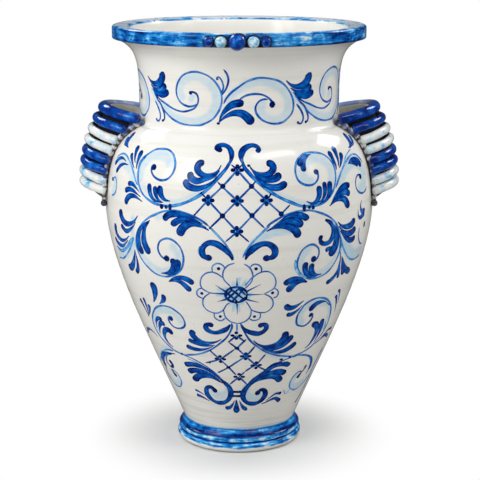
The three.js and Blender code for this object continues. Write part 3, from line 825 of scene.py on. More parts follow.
panel.lobe(7, (122, 289), (128, 284), (136, 281.5), (145, 281.5), (150.5, 284), (152.5, 289))
panel.lobe(7, (124, 284), (131, 277.5), (140, 273), (149, 272.5), (155, 275), (158, 277))
panel.lobe(6, (127, 278), (136, 270), (146, 264.5), (154, 263.5), (160, 265.5))

# The middle scrolls, which turn inwards beside the flower
panel.line(2.0, (-33, 293), (-40, 298), (-50, 303), (-60, 306), (-70, 307.5), (-80, 307), (-90, 304.5),
           (-100, 300), (-108, 296), (-115, 291), (-122, 284), (-128, 276.5), (-132, 268), (-133.5, 260),
           (-131.5, 251), (-127, 243), (-120, 236.5), (-112, 231.5), (-104, 229), (-95, 228.5), (-87, 230),
           (-78, 233.5), (-71, 238.5), (-67, 245), (-65, 252), (-65, 258), (-67.5, 266), (-73, 272),
           (-80, 275), (-87, 274.5), (-94, 270.5), (-97.5, 264), (-97.5, 258), (-94, 252.5), (-88, 250.5),
           (-86, 255), bulb=7.5, load=0.44)
panel.lobe(7, (-99, 232), (-88, 234), (-81, 239), (-78, 246), (-81, 252))
panel.lobe(6, (-95, 232), (-84, 233), (-76, 239), (-73, 246), (-73, 252))
panel.lobe(7, (-106.5, 293), (-116, 287), (-124, 279), (-128, 270), (-128, 260), (-124, 251))
panel.lobe(8, (-108, 291), (-115, 283), (-118, 273), (-118, 265), (-115, 258), (-111, 254))
panel.lobe(6, (-40, 295), (-50, 300), (-60, 303.5), (-72, 304), (-82, 301.5), (-87, 295.5))
panel.lobe(6, (-36, 291.5), (-46, 295.5), (-56, 298.5), (-66, 298), (-74, 293.5), (-76, 290))
panel.lobe(8, (-33, 288.5), (-42, 293), (-52, 295), (-60, 292), (-65.5, 286), (-66.5, 279.5))
panel.line(2.0, (30, 293), (38, 298), (48, 303), (60, 306.5), (72, 307.5), (82, 307), (92, 304), (102, 300),
           (110, 295.5), (117, 289.5), (122, 283), (126, 276), (129, 268), (130.5, 260), (130.5, 252),
           (128, 244), (123, 236.5), (116, 230.5), (108, 227.5), (98, 226), (88, 227), (80, 231), (73, 237),
           (69, 245), (69.5, 254), (73, 262), (79, 266.5), (86, 268), (92, 265.5), (96, 261), (97, 255),
           (95, 250), (91, 249), (89.5, 254), bulb=7.5, load=0.44)
panel.line(3.0, (85, 229), (74, 234), (68, 242), (66, 252), load=0.18)
panel.lobe(6, (104, 230), (96, 228.5), (88, 230), (82, 236), (80, 243), (82, 247.5))
panel.lobe(6, (107, 230), (98, 230), (92, 234), (89, 240), (91, 245))
panel.line(5.8, (102, 294.5), (110, 290), (114.5, 283), (115, 275), (111, 268), (104, 266.5), (98, 269),
           (96.5, 274), (100, 275), bulb=6.6, load=0.72)
panel.lobe(9, (106, 293), (116, 284), (121, 275), (122, 265), (119.5, 257), (113, 251.5))
panel.lobe(5, (118, 262), (112, 260), (106, 258))
panel.lobe(6, (33, 289), (42, 295), (52, 300.5), (62, 303.5), (70, 302.5), (77, 299), (79, 297))
panel.lobe(7, (32, 288.5), (42, 293), (52, 297), (60, 297.5), (67, 295), (71.5, 290))
panel.lobe(7.5, (30, 287.5), (38, 291), (48, 292.5), (57, 290.5), (64, 285.5), (68, 278))

# Dark curls above the flower
panel.line(6.6, (-7, 255), (-10, 261), (-16, 267.5), (-24, 273), (-32, 274.5), (-38, 271.5), (-41.5, 266),
           (-41, 260), (-38, 257.6), (-34.5, 257), (-30.8, 258.4), bulb=8, load=0.72)
panel.line(1.0, (-44, 270), (-46, 264), (-44.5, 259), (-41, 256), load=0.3)
panel.line(2.0, (-33, 293), (-27, 287), (-20, 279.5), (-14, 272), (-9, 263), (-6, 257), load=0.34)
panel.line(6.8, (7, 255.5), (10, 262), (16, 268.5), (23, 272.5), (30, 273.5), (36, 271), (40, 266.5),
           (40.5, 261), (38, 257.8), (34.5, 256.6), (30.5, 256.8), (27.3, 258.4), bulb=8, load=0.74)
panel.line(2.0, (4, 257.5), (7, 264), (12, 272), (19, 280), (26, 287), (34, 294), load=0.34)

# Leaves under the middle scrolls
panel.lobe(6, (-90, 223), (-82, 228), (-72, 230), (-63, 228.5), (-55.5, 224))
panel.lobe(6, (-90, 223), (-80, 225.5), (-72, 224), (-66, 219.5), (-60.5, 214.5))
panel.lobe(6.5, (87, 223), (80, 227), (72, 229), (64, 228), (57, 224.5), (55, 223))
panel.lobe(7, (86, 222.5), (78, 224.5), (70, 223), (64, 218), (60.5, 213.5))
panel.lobe(6, (-145.5, 269), (-155, 263), (-166, 260.5), (-176, 264), (-179, 270), (-177, 278))
panel.lobe(5, (-149, 263.5), (-157, 258), (-166, 253.5), (-178, 254), (-188, 259))
panel.line(3.4, (-137, 269), (-152, 256), (-163, 249.5), (-175, 246), (-188, 249), load=0.30)
panel.line(1.8, (-136, 269), (-142, 260), (-152, 250), (-163, 242), (-175, 236.5), (-190, 234.5), load=0.36)
panel.lobe(7, (-138, 254), (-142, 245), (-148, 236), (-156, 229.5), (-164, 228.5))
panel.lobe(5, (-138, 252), (-138, 240), (-141, 230), (-147, 224.5))
panel.line(1.8, (128, 272), (131, 266), (136, 258), (142, 251), (150, 244), (160, 238.5), (170, 236.3),
           (180, 236.5), (190, 238), load=0.34)
panel.line(3.6, (130, 268), (131.5, 259), (133, 250), load=0.2)
panel.line(1.8, (168, 275), (169, 266), (173, 259), (179, 254), (187, 252), load=0.42)
panel.dot(183, 276, 5, 8)
panel.lobe(5, (133, 252), (135.5, 245), (136.5, 236), (136, 229), (131.5, 222.5), (124, 218),
           (118.5, 217.5))
panel.lobe(7, (138, 246), (143, 236), (148, 228), (151, 221.5))
panel.lobe(7, (140, 244), (148, 233), (156, 226.5), (165, 223.5), (168, 225))
panel.lobe(4, (137, 240), (139, 228), (140, 219))

# The flower: eight petals drawn in a fine line round a crossed heart
FLOWER_LINES = [
    [(-5, 251.5), (-12, 249), (-17, 244), (-19, 237), (-17.5, 231), (-13, 226), (-10, 223)],
    [(-19, 233.5), (-25, 238), (-32, 240), (-39, 238), (-44.5, 233), (-47, 226), (-46, 220), (-41, 216.5),
     (-36, 214.5), (-28, 214), (-17, 213.5)],
    [(-36, 214), (-42, 210), (-46, 205), (-46.5, 198), (-43, 193), (-37, 190), (-30, 189), (-24, 191),
     (-20, 194), (-16, 200), (-12, 203)],
    [(-20, 194), (-19.5, 188), (-17, 183), (-11, 178.5), (-3, 176.5)],
    [(5.5, 250.5), (11, 247), (14.5, 242), (16, 236), (15, 230), (11.5, 225), (7, 221)],
    [(16, 235), (11, 229), (7, 224)],
    [(16, 234), (21, 238), (27, 240.5), (34, 240.5), (40, 236.5), (43.5, 231), (44.5, 225), (43, 220),
     (38, 216.5), (31, 213.5)],
    [(31, 213), (37, 210.5), (42, 206), (44, 199), (41, 193.5), (35, 190), (27, 190), (21, 191.5), (16, 194),
     (12, 200), (8, 205)],
    [(15.5, 194), (15.5, 188), (13, 183), (8, 179), (2, 177), (-3, 176.5)],
    [(-31, 240), (-31, 246), (-27, 250), (-22, 250.5), (-18, 248), (-16, 245)],
    [(-45, 219.5), (-50, 218), (-53, 213.5), (-51.5, 209), (-45, 206.5)],
    [(-33, 189.5), (-33, 184), (-29, 180.5), (-24, 179.5), (-18.5, 183)],
    [(12.5, 246), (15, 249), (19, 250), (23.5, 248), (26, 244), (25.5, 240.5)],
    [(43, 219.5), (47, 217.5), (49, 213.5), (47.5, 209), (43, 207.5)],
    [(27, 190), (28.5, 186), (26.5, 181.5), (21, 180), (16, 181), (14, 183)],
]
for points in FLOWER_LINES:
    panel.line(1.25, *points, load=0.46)
for across, up in ((-23.5, 244.5), (-46.5, 213), (-25, 185), (19.5, 244.5), (41.5, 214), (20.5, 185)):
    panel.dot(across, up, 4.2, 4.2, load=0.95)
for start, end in (((-2.5, 224), (-2.5, 234.5)), ((-2.5, 202), (-2.5, 188)), ((-17, 217), (-28.5, 224.5)),
                   ((-16, 207), (-27.5, 204)), ((-17, 214), (-36, 214)), ((9, 217), (26, 225.5)),
                   ((9, 207), (25.5, 203)), ((9, 213), (31, 213))):
    panel.petal(1.9, start, end, load=0.64)
heart = [(FLOWER_ACROSS + 13.4 * math.cos(turn), FLOWER_UP + 9.4 * math.sin(turn))
         for turn in np.linspace(0, 2 * math.pi, 17)]
panel.line(2.7, *heart, load=0.8)
for start, end in (((-11, 221), (7, 206.5)), ((-17, 217), (-1, 203.5)), ((-2, 222), (9, 212)),
                   ((-15, 207), (0, 221)), ((-9, 204.5), (5, 219)), ((0, 203.5), (9, 211)),
                   ((-17, 211), (-8, 220))):
    panel.line(2.2, start, end, load=0.85)
for across, up in ((-10, 221.5), (-3, 215), (0, 212), (-8, 205), (-16, 217), (4, 219), (7, 207), (-4, 203)):
    panel.dot(across, up, 3.6, 3.2, load=1.05)
panel.dot(-2.5, 221, 3.2, 2.6, load=0.4)

# Stem and lower scrolls
panel.line(1.5, (-3, 176.5), (-3, 166), load=0.5)
panel.line(2.2, (-10, 177), (-10, 171), (-14, 163), (-20, 156), (-28, 150), (-38, 143.5), (-48, 138.5),
           (-60, 134), (-72, 131), (-85, 129), (-98, 127.5), (-115, 130), (-125, 134), (-135, 139.5),
           (-143, 146), (-147, 154), (-146.5, 163), (-142, 171), (-135, 178), (-127, 184), (-118, 188),
           (-108, 190), (-98, 189.5), (-90, 186.5), (-83, 182), (-79.5, 176), (-79.5, 170), (-83, 166),
           (-90, 163.5), (-98, 163.3), (-104, 166), (-107, 171), (-105.5, 175), (-98, 174), bulb=8,
           load=0.46)
panel.dot(-101, 128, 6, 4, load=0.95)
panel.line(6.2, (-12, 175), (-17, 169.5), (-25, 165.5), (-34, 163.3), (-42, 164.5), (-47, 168),
           (-46, 172.5), (-41, 174), (-36.8, 171), bulb=7.4, load=0.72)
panel.lobe(7, (-26, 155), (-35, 151), (-47, 148.5), (-58, 149), (-67, 153.5), (-71, 159), (-66, 163))
panel.lobe(5.5, (-37, 146.5), (-48, 145), (-60, 145.5), (-72, 148), (-80, 150.5))
panel.lobe(5.5, (-40, 145), (-50, 141), (-62, 138.5), (-75, 138.5), (-87, 141))
panel.line(6.6, (3, 174.5), (6, 170), (12, 166), (20, 163.5), (28, 162.5), (35, 165), (38.5, 169.5),
           (36.5, 173.4), (31.5, 174), (27.2, 171), bulb=7.4, load=0.74)
panel.line(2.3, (2, 177), (5, 170), (11, 160), (17, 153), (25, 147), (35, 141), (47, 135.5), (60, 131.5),
           (72, 129), (85, 127), (95, 126), (104, 127), (113, 128), (125, 130.5), (136, 134.5), (145, 140),
           (152, 148), (156, 158), (155, 167), (151, 176), (145, 184), (137, 190.5), (128, 195.5),
           (118, 198.5), (108, 199.5), (98, 197.5), (90, 193.5), (88, 190), (83.5, 183), (83, 175),
           (86, 169), (92, 166.5), (99, 165.5), (106, 168), (110.5, 173), (110, 178), (103, 178.5), bulb=7,
           load=0.46)
panel.line(4, (90, 125.5), (105, 125.5), load=0.85)
panel.lobe(7, (131, 191.5), (122, 193), (113, 192.5), (106, 189), (102, 184))
panel.line(1.2, (131, 191), (138, 187), (145, 184), load=0.5)
panel.lobe(8, (21, 153.5), (28, 148.5), (38, 144.5), (50, 144), (60, 146), (67, 151), (70.5, 156.5),
           (66.5, 161.5))
panel.lobe(7, (30, 146.5), (42, 141.5), (55, 140.5), (68, 143.5), (77, 149), (83, 155.5))
panel.lobe(6.5, (37, 142), (50, 137.5), (62, 135), (75, 136), (86, 140), (93, 145))
panel.lobe(6.5, (87.5, 199.5), (80, 195), (72, 192.5), (65, 193.5), (62, 198))
panel.lobe(5, (87, 193.5), (80, 187.5), (72, 184), (65, 184.5))
panel.lobe(8, (117, 133), (125, 137), (130, 144), (132, 151), (130, 158), (125, 162.5), (119, 164),
           (115, 163))
panel.lobe(7, (135, 138), (140, 147), (141, 155), (138, 163), (134, 168))
panel.line(3, (150, 152), (150, 158), (147, 163), load=0.3)
panel.petal(4, (149, 194), (153, 193.5), (157, 188), (162, 180), (165, 172))
panel.petal(3.4, (152, 201), (157, 200), (161, 193), (165, 183))
panel.lobe(4.5, (142, 134.5), (150, 137.5), (160, 141), (170, 141.5), (180, 137))
panel.lobe(3.4, (150, 138), (160, 144), (172, 148), (185, 147))
panel.line(2.5, (103, 126), (115, 124.5), (128, 122), (140, 118), (151, 112), (157, 106), (159.5, 101),
           (158, 96.5), (154, 92), load=0.40)
panel.lobe(5, (124, 123.5), (136, 120), (148, 114.5), (155.5, 108), (159, 101), (158.5, 97), load=0.56)
panel.line(2.3, (134, 99), (127, 100.3), (119.5, 99), (113.5, 95), (110.5, 90), (110.8, 84.5), (115, 79.5),
           (124, 76), (134, 74.3), (145, 75.3), (157, 78.5), (167, 83), (173, 89), load=0.36)
panel.lobe(5.0, (136, 100.5), (131, 95.5), (126.5, 91), load=0.98)
panel.lobe(4.0, (138, 97.5), (139, 102), (141.5, 107), load=0.98)
panel.line(1.8, (99, 79), (103, 75), (108, 71.5), load=0.22)
panel.line(1.4, (108, 71.5), (112, 74), (116, 77), load=0.22)
panel.line(2.8, (184, 122), (179, 110), (177, 98), (179, 84), (179, 71), (173, 59), (165, 51), bulb=5,
           load=0.44)
panel.lobe(5, (-141, 156), (-137, 165), (-129, 170.5), (-121, 170))
panel.lobe(6, (-138, 150), (-133, 159), (-126, 165), (-118, 164))
panel.lobe(7, (-117, 134.5), (-125, 139), (-129, 146), (-126, 153), (-119, 157.5), (-112, 157),
           (-109, 152.5))
panel.lobe(9, (-127, 191.5), (-122, 198), (-118, 208), (-119, 218))
panel.lobe(6, (-116, 191), (-112, 193.5), (-106, 198), (-103.5, 205))
panel.petal(4.5, (-161, 190), (-156, 178), (-154, 168))
panel.petal(4.5, (-150, 193), (-149, 180), (-153, 168))
panel.petal(4.5, (-141, 186), (-144, 178), (-150, 171))
panel.line(2, (-120, 129), (-135, 128.5), (-150, 124), (-163, 119), (-175, 112), (-188, 104), load=0.34)
panel.lobe(6.5, (-118, 125.5), (-132, 124), (-147, 121.5), (-159, 117), (-167, 112), (-171.5, 107),
           (-171, 102), (-168.5, 100))
panel.line(2.2, (-128, 123.5), (-140, 121), (-149, 116.5), (-154.5, 111.5), (-155.3, 107), (-151, 104),
           load=0.48)
panel.lobe(5.2, (-155, 108), (-151, 104.3), (-145, 103.3), (-140, 105.5), (-139.5, 109), (-144, 113),
           load=0.82)
panel.line(2.2, (-151, 99), (-143.5, 99), (-136, 97), (-131.5, 93), (-130, 88.3), (-132.5, 83.5),
           (-138, 79.5), (-146, 76.3), (-155, 75.6), (-164, 76.8), (-172, 79.7), (-178, 84.5), (-179.5, 90),
           (-176, 96), (-170, 101), load=0.38)
panel.lobe(5.0, (-153, 100.5), (-147, 96), (-141.5, 90.5), load=0.98)
panel.lobe(4, (-150, 142.5), (-157, 146), (-168, 148.5), (-180, 147), (-190, 140))

# Lower trellis
for across, up in ((-4, 160.5), (-31, 128), (10.5, 132.5), (29, 119.5), (0, 104)):
    panel.flower4(across, up)
for across, up, length, height in ((-3.5, 143.5, 8, 5.6), (-18.5, 117, 7.4, 5), (-36, 109.5, 4.5, 3),
                                   (45, 112.5, 5, 3), (73, 124, 7.5, 4), (88.5, 126, 5, 4),
                                   (-15, 152, 3.4, 2.4), (-45, 138, 3.4, 2.4), (-50, 121.5, 3.4, 2.4)):
    panel.dot(across, up, length, height)
LOWER_TRELLIS_LINES = [
    [(-15, 151), (-3.5, 143.5), (10.5, 132.5), (29, 119.5), (45, 112.5)],
    [(-7, 142), (-20, 134), (-31, 128), (-45, 124), (-58, 121)],
    [(-47, 139), (-31, 127), (-18, 117), (-5, 106)],
    [(24.5, 146), (18, 139), (10.5, 132.5), (-5, 124), (-18, 117), (-36, 109.5)],
    [(0, 104), (-18, 93)],
    [(-3.5, 143.5), (10.5, 155.5)],
    [(10, 111), (22, 117.5), (29, 120), (36, 127), (43, 134)],
    [(0, 104), (10, 111)],
    [(0, 104), (15, 93)],
    [(-4, 160.5), (-15, 152)],
    [(-4, 160.5), (9, 152)],
]
for points in LOWER_TRELLIS_LINES:
    panel.line(2.0, *points, load=0.64)

# The lower border, its leaves, and the two scrolls clasped together at the foot
panel.line(1.6, (-98, 127), (-85, 125), (-72, 121.5), (-60, 117), (-50, 112), (-42, 107), (-34, 101),
           (-27, 95.5))
panel.line(1.1, (-92, 123), (-80, 120.8), (-68, 117.5), (-56, 112.5), (-46, 106.5), (-37, 100), load=0.32)
panel.lobe(7.0, (-30, 95), (-42, 104), (-55, 111), (-70, 115), (-85, 116), (-103, 113.5))
panel.lobe(7.6, (-32, 94), (-45, 102), (-60, 107), (-75, 108.5), (-90, 107), (-99, 103.5))
panel.lobe(8.6, (-35, 95), (-50, 101), (-65, 102.5), (-78, 100.5), (-88, 95), (-91, 92))
panel.line(1.7, (22, 96), (34, 105), (48, 112), (58, 117), (70, 120.5), (82, 123), (95, 125))
panel.line(1.1, (38, 103), (50, 109), (62, 113.5), (75, 117.5), (88, 120), load=0.32)
panel.lobe(6.6, (42, 109), (55, 113), (68, 116.5), (80, 117), (90, 115), (94, 113.5))
panel.lobe(8.0, (30, 98), (45, 104), (60, 107.5), (74, 107.5), (84, 105), (90, 103))
panel.lobe(8.6, (22, 92), (32, 97), (45, 100.5), (60, 102), (72, 100), (80, 95.5), (83, 92))
panel.line(7.2, (-35, 100), (-26, 94), (-19, 88), (-17, 80), (-22, 72), (-32, 67), (-45, 65.5), (-57, 67.5),
           (-66, 72.5), (-69.5, 79), (-66.5, 85), (-59, 87.3), (-52, 85), (-48, 79.8), bulb=8, load=0.72)
panel.line(7.4, (75, 121), (60, 116.5), (45, 108), (30, 99.5), (20, 93), (12, 86), (8, 79.5), (9, 73),
           (15, 68), (24, 65.5), (35, 65), (45, 67), (52, 71), (55.5, 76.5), (53, 82), (46.5, 84.3),
           (40, 81.8), (36, 77), bulb=8.4, load=0.74)
panel.line(4.4, (-20, 83), (-5, 82.5), (11, 83), load=1.0)
panel.line(4.4, (-20, 77), (-5, 76.5), (11, 77), load=1.0)
panel.lobe(5.8, (-10, 70), (-14, 65), (-21, 60), (-32, 58.5))
panel.petal(8.0, (-6.5, 52), (-6.2, 60), (-6, 71))
panel.lobe(6.2, (1, 70), (4, 65), (9, 60.5), (15, 58), (19, 58))
panel.petal(3.4, (-97, 79.5), (-85, 77), (-73, 73.5))
panel.petal(5.0, (-97, 72.5), (-82, 70.5), (-67, 66))
panel.petal(4.6, (95, 75), (80, 75.5), (70, 72), (60, 67.5))
panel.petal(6.2, (97, 63), (90, 66.5), (82, 69), (72, 68), (62, 65.5), (51, 63.5))

# A sprig between the panels, under each handle
SPRIG = BODY_GIRTH * math.pi / 2
panel.petal(8.5, (SPRIG, 250), (SPRIG, 264), (SPRIG, 279))
panel.line(1.8, (SPRIG, 246), (SPRIG + 1, 200), (SPRIG - 1, 160), (SPRIG, 118), load=0.4)


def sprig_side(hand):
    """The curl and the leaves on one side of the sprig, hand being -1 or 1."""
    def beside(*points):
        return [(SPRIG + hand * away, up) for away, up in points]

    panel.line(1.8, *beside((0, 232), (12, 236), (24, 246), (27, 258), (20, 266), (12, 262), (14, 256)),
               bulb=6, load=0.44)
    panel.lobe(7, *beside((2, 228), (12, 226), (22, 229), (29, 237)))
    panel.lobe(7, *beside((2, 222), (12, 217), (23, 217), (31, 223)))
    panel.lobe(6, *beside((2, 214), (11, 206), (21, 203), (29, 206)))
    panel.lobe(6, *beside((2, 176), (10, 178), (18, 184), (21, 193)))
    panel.lobe(6, *beside((2, 168), (12, 166), (22, 169), (28, 176)))
    panel.lobe(5, *beside((2, 140), (10, 142), (18, 149)))


for hand in (-1, 1):
    sprig_side(hand)
panel.petal(6, (SPRIG, 104), (SPRIG, 112), (SPRIG, 119))

panel.painted("painted_front", cobalt_paint)
panel.painted("painted_back", cobalt_paint, HALF_TURN)

# Neck frieze: the same running scroll four times round, spaced by eye
frieze = Brush(NECK_GIRTH)


def frieze_repeat(shift):
    """One run of the scroll, a distance round the neck from the first one."""
    def at(*points):
        return [(across + shift, up) for across, up in points]

    frieze.lobe(8, *at((-124, 445.5), (-118, 440.5), (-110, 438), (-102, 439.5), (-96, 444), (-94, 450),
                       (-94.5, 453)))
    frieze.lobe(7, *at((-118, 437), (-110, 432.5), (-101, 431.5), (-94, 435), (-90, 439.5)))
    frieze.lobe(6, *at((-115, 432), (-106, 427.5), (-97, 426.5), (-90, 429), (-86, 432.5)))
    frieze.line(1.8, *at((-113, 430), (-105, 421), (-100, 417), (-95, 411), (-90, 407), (-80, 401),
                         (-70, 397.5), (-60, 396), (-53, 395.8), (-45, 396.5), (-38, 399), (-30, 403.5),
                         (-25, 409), (-21, 416), (-19, 424), (-19.5, 432), (-22, 439), (-27, 446),
                         (-33, 451), (-40, 454), (-48, 455.5), (-57, 454), (-65, 450), (-71, 443),
                         (-74, 435), (-73.5, 428), (-70, 422), (-65, 418.5), (-58, 416.5), (-58, 416.5),
                         (-52, 417.5), (-48, 420)), load=0.45)
    frieze.line(1.7, *at((-110, 427), (-100, 421), (-90, 417), (-80, 413), (-72, 411), (-65, 410.5),
                         (-58, 412), (-51, 415), (-47, 420), (-46, 426), (-48, 431), (-53, 433),
                         (-57, 430.5)), bulb=4.4, load=0.6)
    frieze.line(1.8, *at((-19.5, 430), (-14, 438), (-11.5, 447), (-13, 454), (-16.5, 459)), load=0.6)
    frieze.line(1.6, *at((-19, 433), (-17, 440), (-19, 447), (-22, 450.5), (-24, 449.5), (-23, 447)),
                bulb=3, load=0.6)
    frieze.line(2.0, *at((-110, 419), (-104, 412), (-100.5, 405), (-101, 399.5), (-104.5, 396.5),
                         (-109, 399)), bulb=3.4, load=0.6)
    frieze.line(2.0, *at((-100, 418), (-96, 411), (-93, 404), (-94, 399), (-98, 397.5)), bulb=3.4, load=0.6)
    frieze.line(1.9, *at((-17, 421), (-14, 427), (-8, 434), (0, 440), (8, 445.5), (18, 449), (26, 449.5),
                         (36, 448), (45, 445), (53, 439), (59, 431), (62.5, 423), (63, 416), (61, 409),
                         (56, 404), (50, 400), (42, 398.5), (34, 399.5), (26, 403), (20, 409), (18, 415),
                         (19, 420), (23, 424.5), (28, 426), (32, 425.5)), load=0.47)
    frieze.line(1.9, *at((0, 426), (8, 430.5), (18, 432), (27, 430.5), (34, 426), (37.5, 420.5), (34, 418)),
                bulb=7, load=0.56)
    frieze.lobe(7, *at((-22, 401), (-20, 407), (-15, 414), (-8, 420), (0, 422), (5, 420.5)))
    frieze.lobe(8, *at((-22, 401), (-15, 407), (-6, 411), (3, 410.5), (10, 405.5), (15, 399)))
    frieze.dot(-23 + shift, 399.5, 4, 3)


for shift in NECK_REPEATS:
    frieze_repeat(shift)
frieze.painted("painted_frieze", cobalt_paint)

# Rim band: a flat-faced ring thrown on to the flare, with a broad lip that falls towards the
# mouth. Mid blue is brushed round it over the white, and dark wash with painted shade lies
# round the pearls.
RIM_RADIUS = 147.3
BAND_RADIUS = RIM_RADIUS - SKIN / 2
BAND_EDGE_ROUND = 1.6
BAND_FACE_TOP = NECK_TOP_Z + 12.2
RIM_TOP_Z = NECK_TOP_Z + 15.5
LIP_CROWN_RADIUS = 142.0
LIP_INNER_RADIUS = 129.0
LIP_FALL = 1.8
MOUTH_ROUND = 1.6
MOUTH_WHITE = 2.0
POOL_REACH = 2.5
PEARL_DIAMETERS = [18.6, 13.0, 11.0]
PEARL_SPACE = 1.4
PEARL_ROW_OFFSET = -2.0
PEARL_STAND_OFF = 1.2
PEARL_Z = NECK_TOP_Z + 6.1
PEARL_SHADE_REACH = 3.2


def pearl_row():
    """Name, diameter and distance along the rim of each pearl, from the middle outwards."""
    row = [("middle", PEARL_DIAMETERS[0], 0.0)]
    away = 0.0
    for i, (inner, outer) in enumerate(zip(PEARL_DIAMETERS, PEARL_DIAMETERS[1:]), 1):
        away += (inner + outer) / 2 + PEARL_SPACE
        row += [(f"left_{i}", outer, -away), (f"right_{i}", outer, away)]
    return row


def pearl_centre(along):
    """The middle of a pearl that lies a distance along the rim."""
    angle = (along + PEARL_ROW_OFFSET) / RIM_RADIUS
    stand = RIM_RADIUS + PEARL_STAND_OFF
    return np.array([stand * math.sin(angle), -stand * math.cos(angle), PEARL_Z])


def pearl_wash_and_shade(places):
    """Dark wash that was wiped off the band and stayed in the corners round the pearls, with painted shade
    there too.
    """
    dark = np.zeros(len(places))
    for _, diameter, along in pearl_row():
        away = np.linalg.norm(places - pearl_centre(along), axis=1) - diameter / 2
        dark = np.maximum(dark, np.clip(1 - away / PEARL_SHADE_REACH, 0, 1))
    return dark


def band_outline():
    """From the band's lower edge up its face, over the lip and down into the mouth."""
    crown = np.linspace(0, math.pi / 2, 9)
    lip = np.column_stack([LIP_CROWN_RADIUS + (BAND_RADIUS - LIP_CROWN_RADIUS) * np.cos(crown),
                           BAND_FACE_TOP + (RIM_TOP_Z - BAND_FACE_TOP) * np.sin(crown)])
    fall = np.linspace((LIP_CROWN_RADIUS, RIM_TOP_Z), (LIP_INNER_RADIUS, RIM_TOP_Z - LIP_FALL), 10)[1:-1]
    mouth = bezier([(LIP_INNER_RADIUS, RIM_TOP_Z - LIP_FALL),
                    (MOUTH_RADIUS + MOUTH_ROUND, RIM_TOP_Z - LIP_FALL), (MOUTH_RADIUS, NECK_TOP_Z)], 8)
    edge_centre = (BAND_RADIUS - BAND_EDGE_ROUND, NECK_TOP_Z + BAND_EDGE_ROUND)
    edge = arc(edge_centre, BAND_EDGE_ROUND, -math.pi / 2, 0, 5)
    face = [(BAND_RADIUS, z) for z in np.linspace(NECK_TOP_Z + 3, BAND_FACE_TOP - 1, 5)]
    return np.concatenate([edge, face, lip, fall, mouth])


def band_glaze():
    """Mid blue brushed round the wheel over white, flecked dark, and bare white inside the mouth."""
    finish = Finish("rim brushed blue")
    streaks = finish.cloud(1.0, 4.0, (45, 45, 260), 0.6)
    blots = finish.cloud(34.0, 5.0, roughness=0.66)
    flecks = finish.cloud(230.0, 2.0, (1, 1, 2)).eased(0.60, 0.68)
    flecks = flecks * finish.cloud(34.0, 2.0, offset=2.0).eased(0.45, 0.6)
    load = streaks.eased(0.30, 0.70) * 0.54 + blots.eased(0.36, 0.64) * 0.50 + flecks * 0.7 - 0.08
    load = load + finish.mark("pooled")
    color = finish.ramp(load, (0.0, (0.72, 0.78, 0.86)), (0.12, (0.30, 0.60, 0.87)),
                        (0.32, (0.03, 0.31, 0.73)), (0.60, (0.001, 0.12, 0.46)), (0.92, (0.0, 0.014, 0.13)))
    inside = finish.mark("lip").eased(0.55, 0.25)
    color = finish.mix(color, WHITE, inside)
    # Dark wash and painted shade in the corners round the pearls
    dark_wash_and_shade = finish.mark("dark_wash_and_shade").eased(0.05, 0.75) * finish.cloud(300.0, 3.0).eased(0.2, 0.5)
    color = finish.mix(color, (0.02, 0.016, 0.02), dark_wash_and_shade)
    rough = finish.cloud(60.0, 2.0) * 0.12 + 0.07
    return finish.surface(color, rough, finish.relief(blots * 0.6 + streaks * 0.2))


def lip_mark(places):
    """1 on the face and lip of the band, 0 down inside the mouth."""
    radius = np.hypot(places[:, 0], places[:, 1])
    return np.clip((radius - MOUTH_RADIUS - MOUTH_WHITE) / MOUTH_WHITE, 0, 1)


def band_pools(places):
    """Where the blue pools on the band: at its foot and outer edge, and least on top of the lip."""
    radius, z = np.hypot(places[:, 0], places[:, 1]), places[:, 2]
    lip_radii = [MOUTH_RADIUS, LIP_INNER_RADIUS, LIP_INNER_RADIUS + POOL_REACH]
    lip_radii += [LIP_CROWN_RADIUS, BAND_RADIUS]
    lip = np.interp(radius, lip_radii, [0.0, -0.25, -0.60, -0.60, 0.15])
    face = np.interp(z, [NECK_TOP_Z, NECK_TOP_Z + POOL_REACH], [0.45, 0.0])
    return np.where(z > BAND_FACE_TOP, lip, face)


band = turned("rim_band_ring", band_outline(), band_glaze(), steps=480,
              attributes={"dark_wash_and_shade": pearl_wash_and_shade, "lip": lip_mark, "pooled": band_pools})
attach(band, "root")
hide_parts("rim_band")

# Pearls: five balls of clay pressed on to the band, the biggest in the middle. Each is rolled by
# hand, a little out of round, and glazed deep blue or pale with a touch of blue.
PEARL_RINGS = 18
PEARL_LUMPS = 0.02
COBALT_STOPS = [(0.30, (0.006, 0.17, 0.62)), (0.44, (0.001, 0.066, 0.39)),
                (0.60, (0.0, 0.020, 0.20)), (0.80, (0.0, 0.008, 0.09))]
PALE_PEARL_STOPS = [(0.34, (0.74, 0.80, 0.82)), (0.48, (0.40, 0.66, 0.80)),
                    (0.60, (0.08, 0.38, 0.66)), (0.72, (0.62, 0.74, 0.80))]


def applied_glaze(name, light, color_stops, blot_scale=70.0):
    """Glaze of the applied pieces: blue blots under it, and dark wash with painted shade in every corner."""
    finish = Finish(name)
    blots = finish.cloud(blot_scale, 3.0, roughness=0.6)
    color = finish.ramp(blots, *color_stops)
    sheen = finish.cloud(150.0, 2.0, offset=5.0).eased(0.55, 0.8)
    color = finish.mix(color, light, sheen * 0.45)
    # Painted reflection: pale blue over the top of the first coil's back half
    thin = finish.mark("thin") * (blots.eased(0.35, 0.6) * 0.5 + 0.35)
    color = finish.mix(color, (0.62, 0.70, 0.82), thin)
    worn = finish.cloud(230.0, 3.0, roughness=0.7)
    # Dark wash and painted shade where the piece faces its neighbours
    dark = (finish.mark("corner") + worn * 0.4 - 0.2).eased(0.42, 0.80)
    color = finish.mix(color, (0.012, 0.010, 0.012), dark)
    rough = finish.cloud(60.0, 2.0) * 0.14 + 0.06 + dark * 0.3
    return finish.surface(color, rough, finish.relief(blots * 0.5 + worn * 0.06))


pearl_blue = applied_glaze("cobalt pearl glaze", (0.02, 0.28, 0.78), COBALT_STOPS, blot_scale=170.0)
pearl_pale = applied_glaze("pale pearl glaze", (0.82, 0.83, 0.82), PALE_PEARL_STOPS, blot_scale=190.0)


